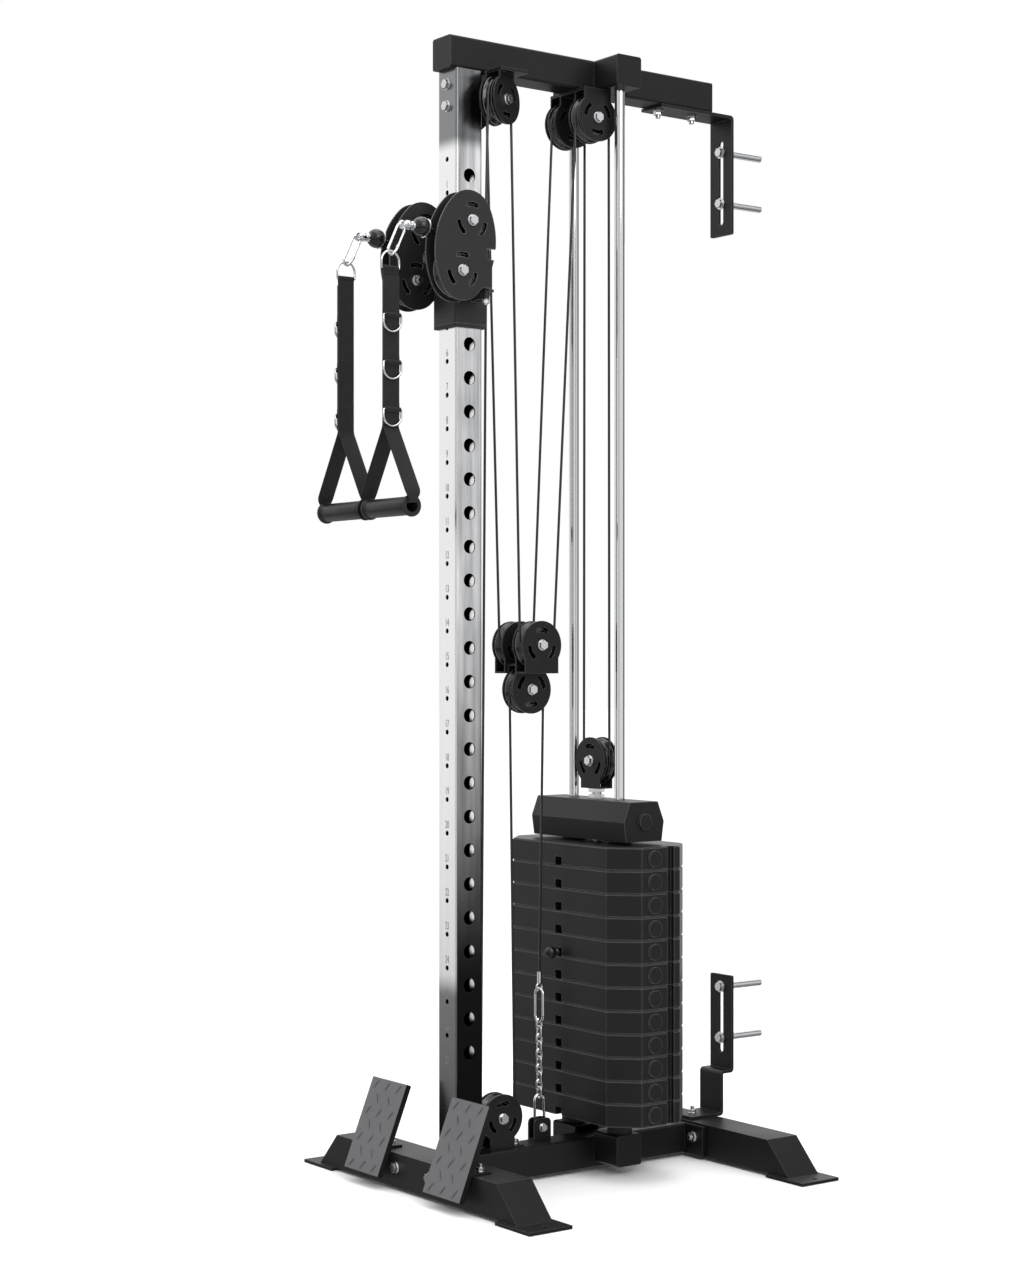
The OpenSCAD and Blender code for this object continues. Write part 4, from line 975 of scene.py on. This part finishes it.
def ribbon(rows, closed):
    """A band of webbing whose middle runs through rows of (x, z, width), y across it."""
    deselect()
    per_row = 5
    x, z, width = rows[0]
    bpy.ops.mesh.primitive_grid_add(x_subdivisions=per_row - 1, y_subdivisions=1, size=1)
    piece = bpy.context.object
    bpy.ops.object.mode_set(mode="EDIT")
    bpy.ops.mesh.select_all(action="DESELECT")
    bpy.ops.object.mode_set(mode="OBJECT")
    for vertex in piece.data.vertices:
        vertex.select = vertex.co.y > 0
    bpy.ops.object.mode_set(mode="EDIT")
    bpy.ops.mesh.delete(type="VERT")
    bpy.ops.mesh.select_all(action="SELECT")
    bpy.ops.transform.resize(value=(width, 1, 1), center_override=(0, 0, 0))
    bpy.ops.transform.translate(value=(0, 0.5, 0))
    for next_x, next_z, next_width in rows[1:]:
        step = (0, next_x - x, next_z - z)
        bpy.ops.mesh.extrude_region_move(TRANSFORM_OT_translate={"value": step})
        bpy.ops.transform.resize(value=(next_width / width, 1, 1))
        x, z, width = next_x, next_z, next_width
    bpy.ops.object.mode_set(mode="OBJECT")
    start = Matrix.Translation((rows[0][0], swing_y, rows[0][1]))
    piece.data.transform(start @ Matrix.Rotation(math.radians(-90), 4, "Z"))
    # The weave follows the band: its map gives the way across and the way along, in metres.
    lengths = [0.0]
    for one, other in zip(rows, rows[1:]):
        lengths.append(lengths[-1] + math.hypot(other[0] - one[0], other[1] - one[1]))
    layer = piece.data.uv_layers.new(name="length")
    for loop in piece.data.loops:
        corner = piece.data.vertices[loop.vertex_index]
        layer.data[loop.index].uv = (corner.co.y - swing_y, lengths[loop.vertex_index // per_row])
    bpy.ops.object.mode_set(mode="EDIT")
    bpy.ops.mesh.select_all(action="SELECT")
    if closed:
        bpy.ops.mesh.remove_doubles(threshold=1e-6)
    bpy.ops.mesh.normals_make_consistent(inside=False)
    bpy.ops.object.mode_set(mode="OBJECT")
    solid = piece.modifiers.new("thickness", "SOLIDIFY")
    solid.thickness = web_t * 0.94
    solid.offset = 0
    edge = piece.modifiers.new("selvedge", "BEVEL")
    edge.width = 0.4 * mm
    edge.segments = 2
    edge.angle_limit = math.radians(50)
    bpy.ops.object.modifier_apply(modifier="thickness")
    bpy.ops.object.modifier_apply(modifier="selvedge")
    bpy.ops.object.shade_smooth_by_angle(angle=math.radians(40))
    return piece


def band_rows():
    """The closed band: through the grip, up a leg, over the D-ring and down the other leg."""
    right = [(0, inlay_z, 18 * mm), (40 * mm, inlay_z, 18 * mm), (66 * mm, inlay_z, 18 * mm)]
    bend = 3.8 * mm
    round_end = arc((69.2 * mm, inlay_z + bend), bend, -90, 0, 5)
    right += [(a, b, 18.5 * mm) for a, b in round_end]
    right += [
        (73.1 * mm, 1.2812, 21 * mm),
        (73.2 * mm, 1.2860, 27 * mm),
        (72.2 * mm, 1.2910, 31 * mm),
        (70.0 * mm, 1.2965, web_w),
        (66.5 * mm, 1.3025, web_w),
        (36 * mm, 1.3537, web_w),
        (6.0 * mm, 1.4042, web_w),
        (3.4 * mm, 1.4086, web_w),
        (1.7 * mm, 1.4130, web_w),
        (1.05 * mm, 1.4180, web_w),
        (1.05 * mm, 1.5, web_w),
        (1.05 * mm, 1.6, web_w),
        (1.05 * mm, 1.6905, web_w),
    ]
    over = [(a, b, web_w) for a, b in arc((0, bar_z), bar_bend, -62, 242, 18)]
    left = [(-a, b, w) for a, b, w in right[::-1]]
    return right + over + left


def keeper_rows():
    """The outer layer, which bulges round the bar of each side ring."""
    face = 3.1 * mm
    rows = [(face, 1.684, web_w), (face, 1.650, web_w)]
    for z in ring_zs:
        rows += [(face, z + 15 * mm, web_w), (face + 0.6 * mm, z + 10 * mm, web_w)]
        rows += [(a, b, web_w) for a, b in arc((ring_x, z), bar_bend, 128, -128, 12)]
        rows += [(face + 0.6 * mm, z - 10 * mm, web_w), (face, z - 15 * mm, web_w)]
    return rows + [(face, 1.416, web_w)]


deselect()
bpy.ops.mesh.primitive_cylinder_add(vertices=6, radius=0.45 * mm, depth=2.2 * mm)
bpy.ops.object.mode_set(mode="EDIT")
bpy.ops.mesh.select_all(action="SELECT")
bpy.ops.mesh.bevel(offset=0.2 * mm, segments=1)
bpy.ops.object.mode_set(mode="OBJECT")
first_stitch = bpy.context.object
thread_mat, tree, shader = surface("bonded_thread", Roughness=0.6)
two_tone(tree, shader, noise(tree, position(tree), 1 / (0.6 * mm), 1.0), "#19191a", "#29292a")


def stitch_row(places, along):
    """Short stitches of thread at given places, each lying along y or along z."""
    made = []
    for spot in places:
        one = first_stitch.copy()
        one.data = first_stitch.data.copy()
        bpy.context.collection.objects.link(one)
        turn = Matrix.Rotation(0 if along == "z" else math.radians(90), 4, "X")
        one.data.transform(Matrix.Translation(spot) @ turn)
        made.append(one)
    return made


def handle(side_name, s):
    """Webbing, rings, stitches and grip of one side, drawn for the right and mirrored."""
    body = f"{side_name}_handle"
    strap_node = f"{side_name}_strap"
    grip_node = f"{side_name}_grip"
    place = Matrix.Translation((s * handle_x, 0, 0)) @ Matrix.Diagonal((s, 1, 1, 1))

    def settle(piece):
        """Puts a piece on its side."""
        piece.data.transform(place)
        if s < 0:
            piece.data.flip_normals()

    rows = band_rows()
    band = ribbon(rows + rows[:1], True)
    settle(band)
    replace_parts(piece_of(f"{side_name}_webbing", webbing, body), strap_node)
    outer = ribbon(keeper_rows(), False)
    settle(outer)
    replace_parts(piece_of(f"{side_name}_ring_layer", webbing, body), strap_node)

    top_arc = [(0, a, b) for a, b in arc((swing_y, bar_z + 11.6 * mm), ring_r, 0, 180, 24)]
    top_bar = [(0, swing_y - ring_r, bar_z), (0, swing_y + ring_r, bar_z)]
    rings = [wire("top_ring", top_arc + top_bar, ring_wire)]
    for z in ring_zs:
        low_arc = [(ring_x, a, b) for a, b in arc((swing_y, z - 11 * mm), ring_r, 0, -180, 24)]
        bar = [(ring_x, swing_y - ring_r, z), (ring_x, swing_y + ring_r, z)]
        rings.append(wire("side_ring", low_arc + bar, ring_wire))
    all_rings = join(rings)
    settle(all_rings)
    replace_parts(piece_of(f"{side_name}_d_rings", chrome, body), strap_node)

    # Rows of stitches cross the webbing on both faces, and two short ones run up its edges on top.
    face, back = 4.05 * mm, -2.0 * mm
    seams = [1.6815, 1.660] + [z + d for z in ring_zs for d in (18 * mm, -18 * mm)] + [1.4195]
    spread = [swing_y + (k - 3.5) * 3.8 * mm for k in range(8)]
    edge_seam = 13.3 * mm
    made = []
    for z in seams:
        for x in (face, back):
            made += stitch_row([Vector((x, y, z)) for y in spread], "y")
    for y in (swing_y - edge_seam, swing_y + edge_seam):
        made += stitch_row([Vector((face, y, 1.664 + 3.5 * mm * k)) for k in range(5)], "z")
    stitches = join(made)
    settle(stitches)
    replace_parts(piece_of(f"{side_name}_stitches", thread_mat, body), strap_node)

    # Half a grip's outline, from its bore at the end over the flange to the tube.
    grip_half, r, bore = 70 * mm, 17 * mm, 12 * mm
    profile = [
        (0, bore),
        (0, r + 1.6 * mm),
        (1 * mm, r + 2.9 * mm),
        (4 * mm, r + 2.9 * mm),
        (5 * mm, r + 2.0 * mm),
        (6.2 * mm, r + 0.2 * mm),
        (9 * mm, r - 0.5 * mm),
        (9.6 * mm, r - 1.0 * mm),
        (10.8 * mm, r - 1.0 * mm),
        (11.4 * mm, r - 0.3 * mm),
        (13 * mm, r),
    ]
    near = [(a - grip_half, b) for a, b in profile]
    far = [(-a, b) for a, b in near[::-1]]
    grip_piece = turned(near + far + near[:1], (0, swing_y, grip_mid_z), (1, 0, 0), 64)
    settle(grip_piece)
    tube = piece_of(f"{side_name}_grip_tube", grip_plastic, grip_node)
    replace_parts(tube, grip_node)


for side_name, s in hands:
    handle(side_name, s)
bpy.data.objects.remove(first_stitch)
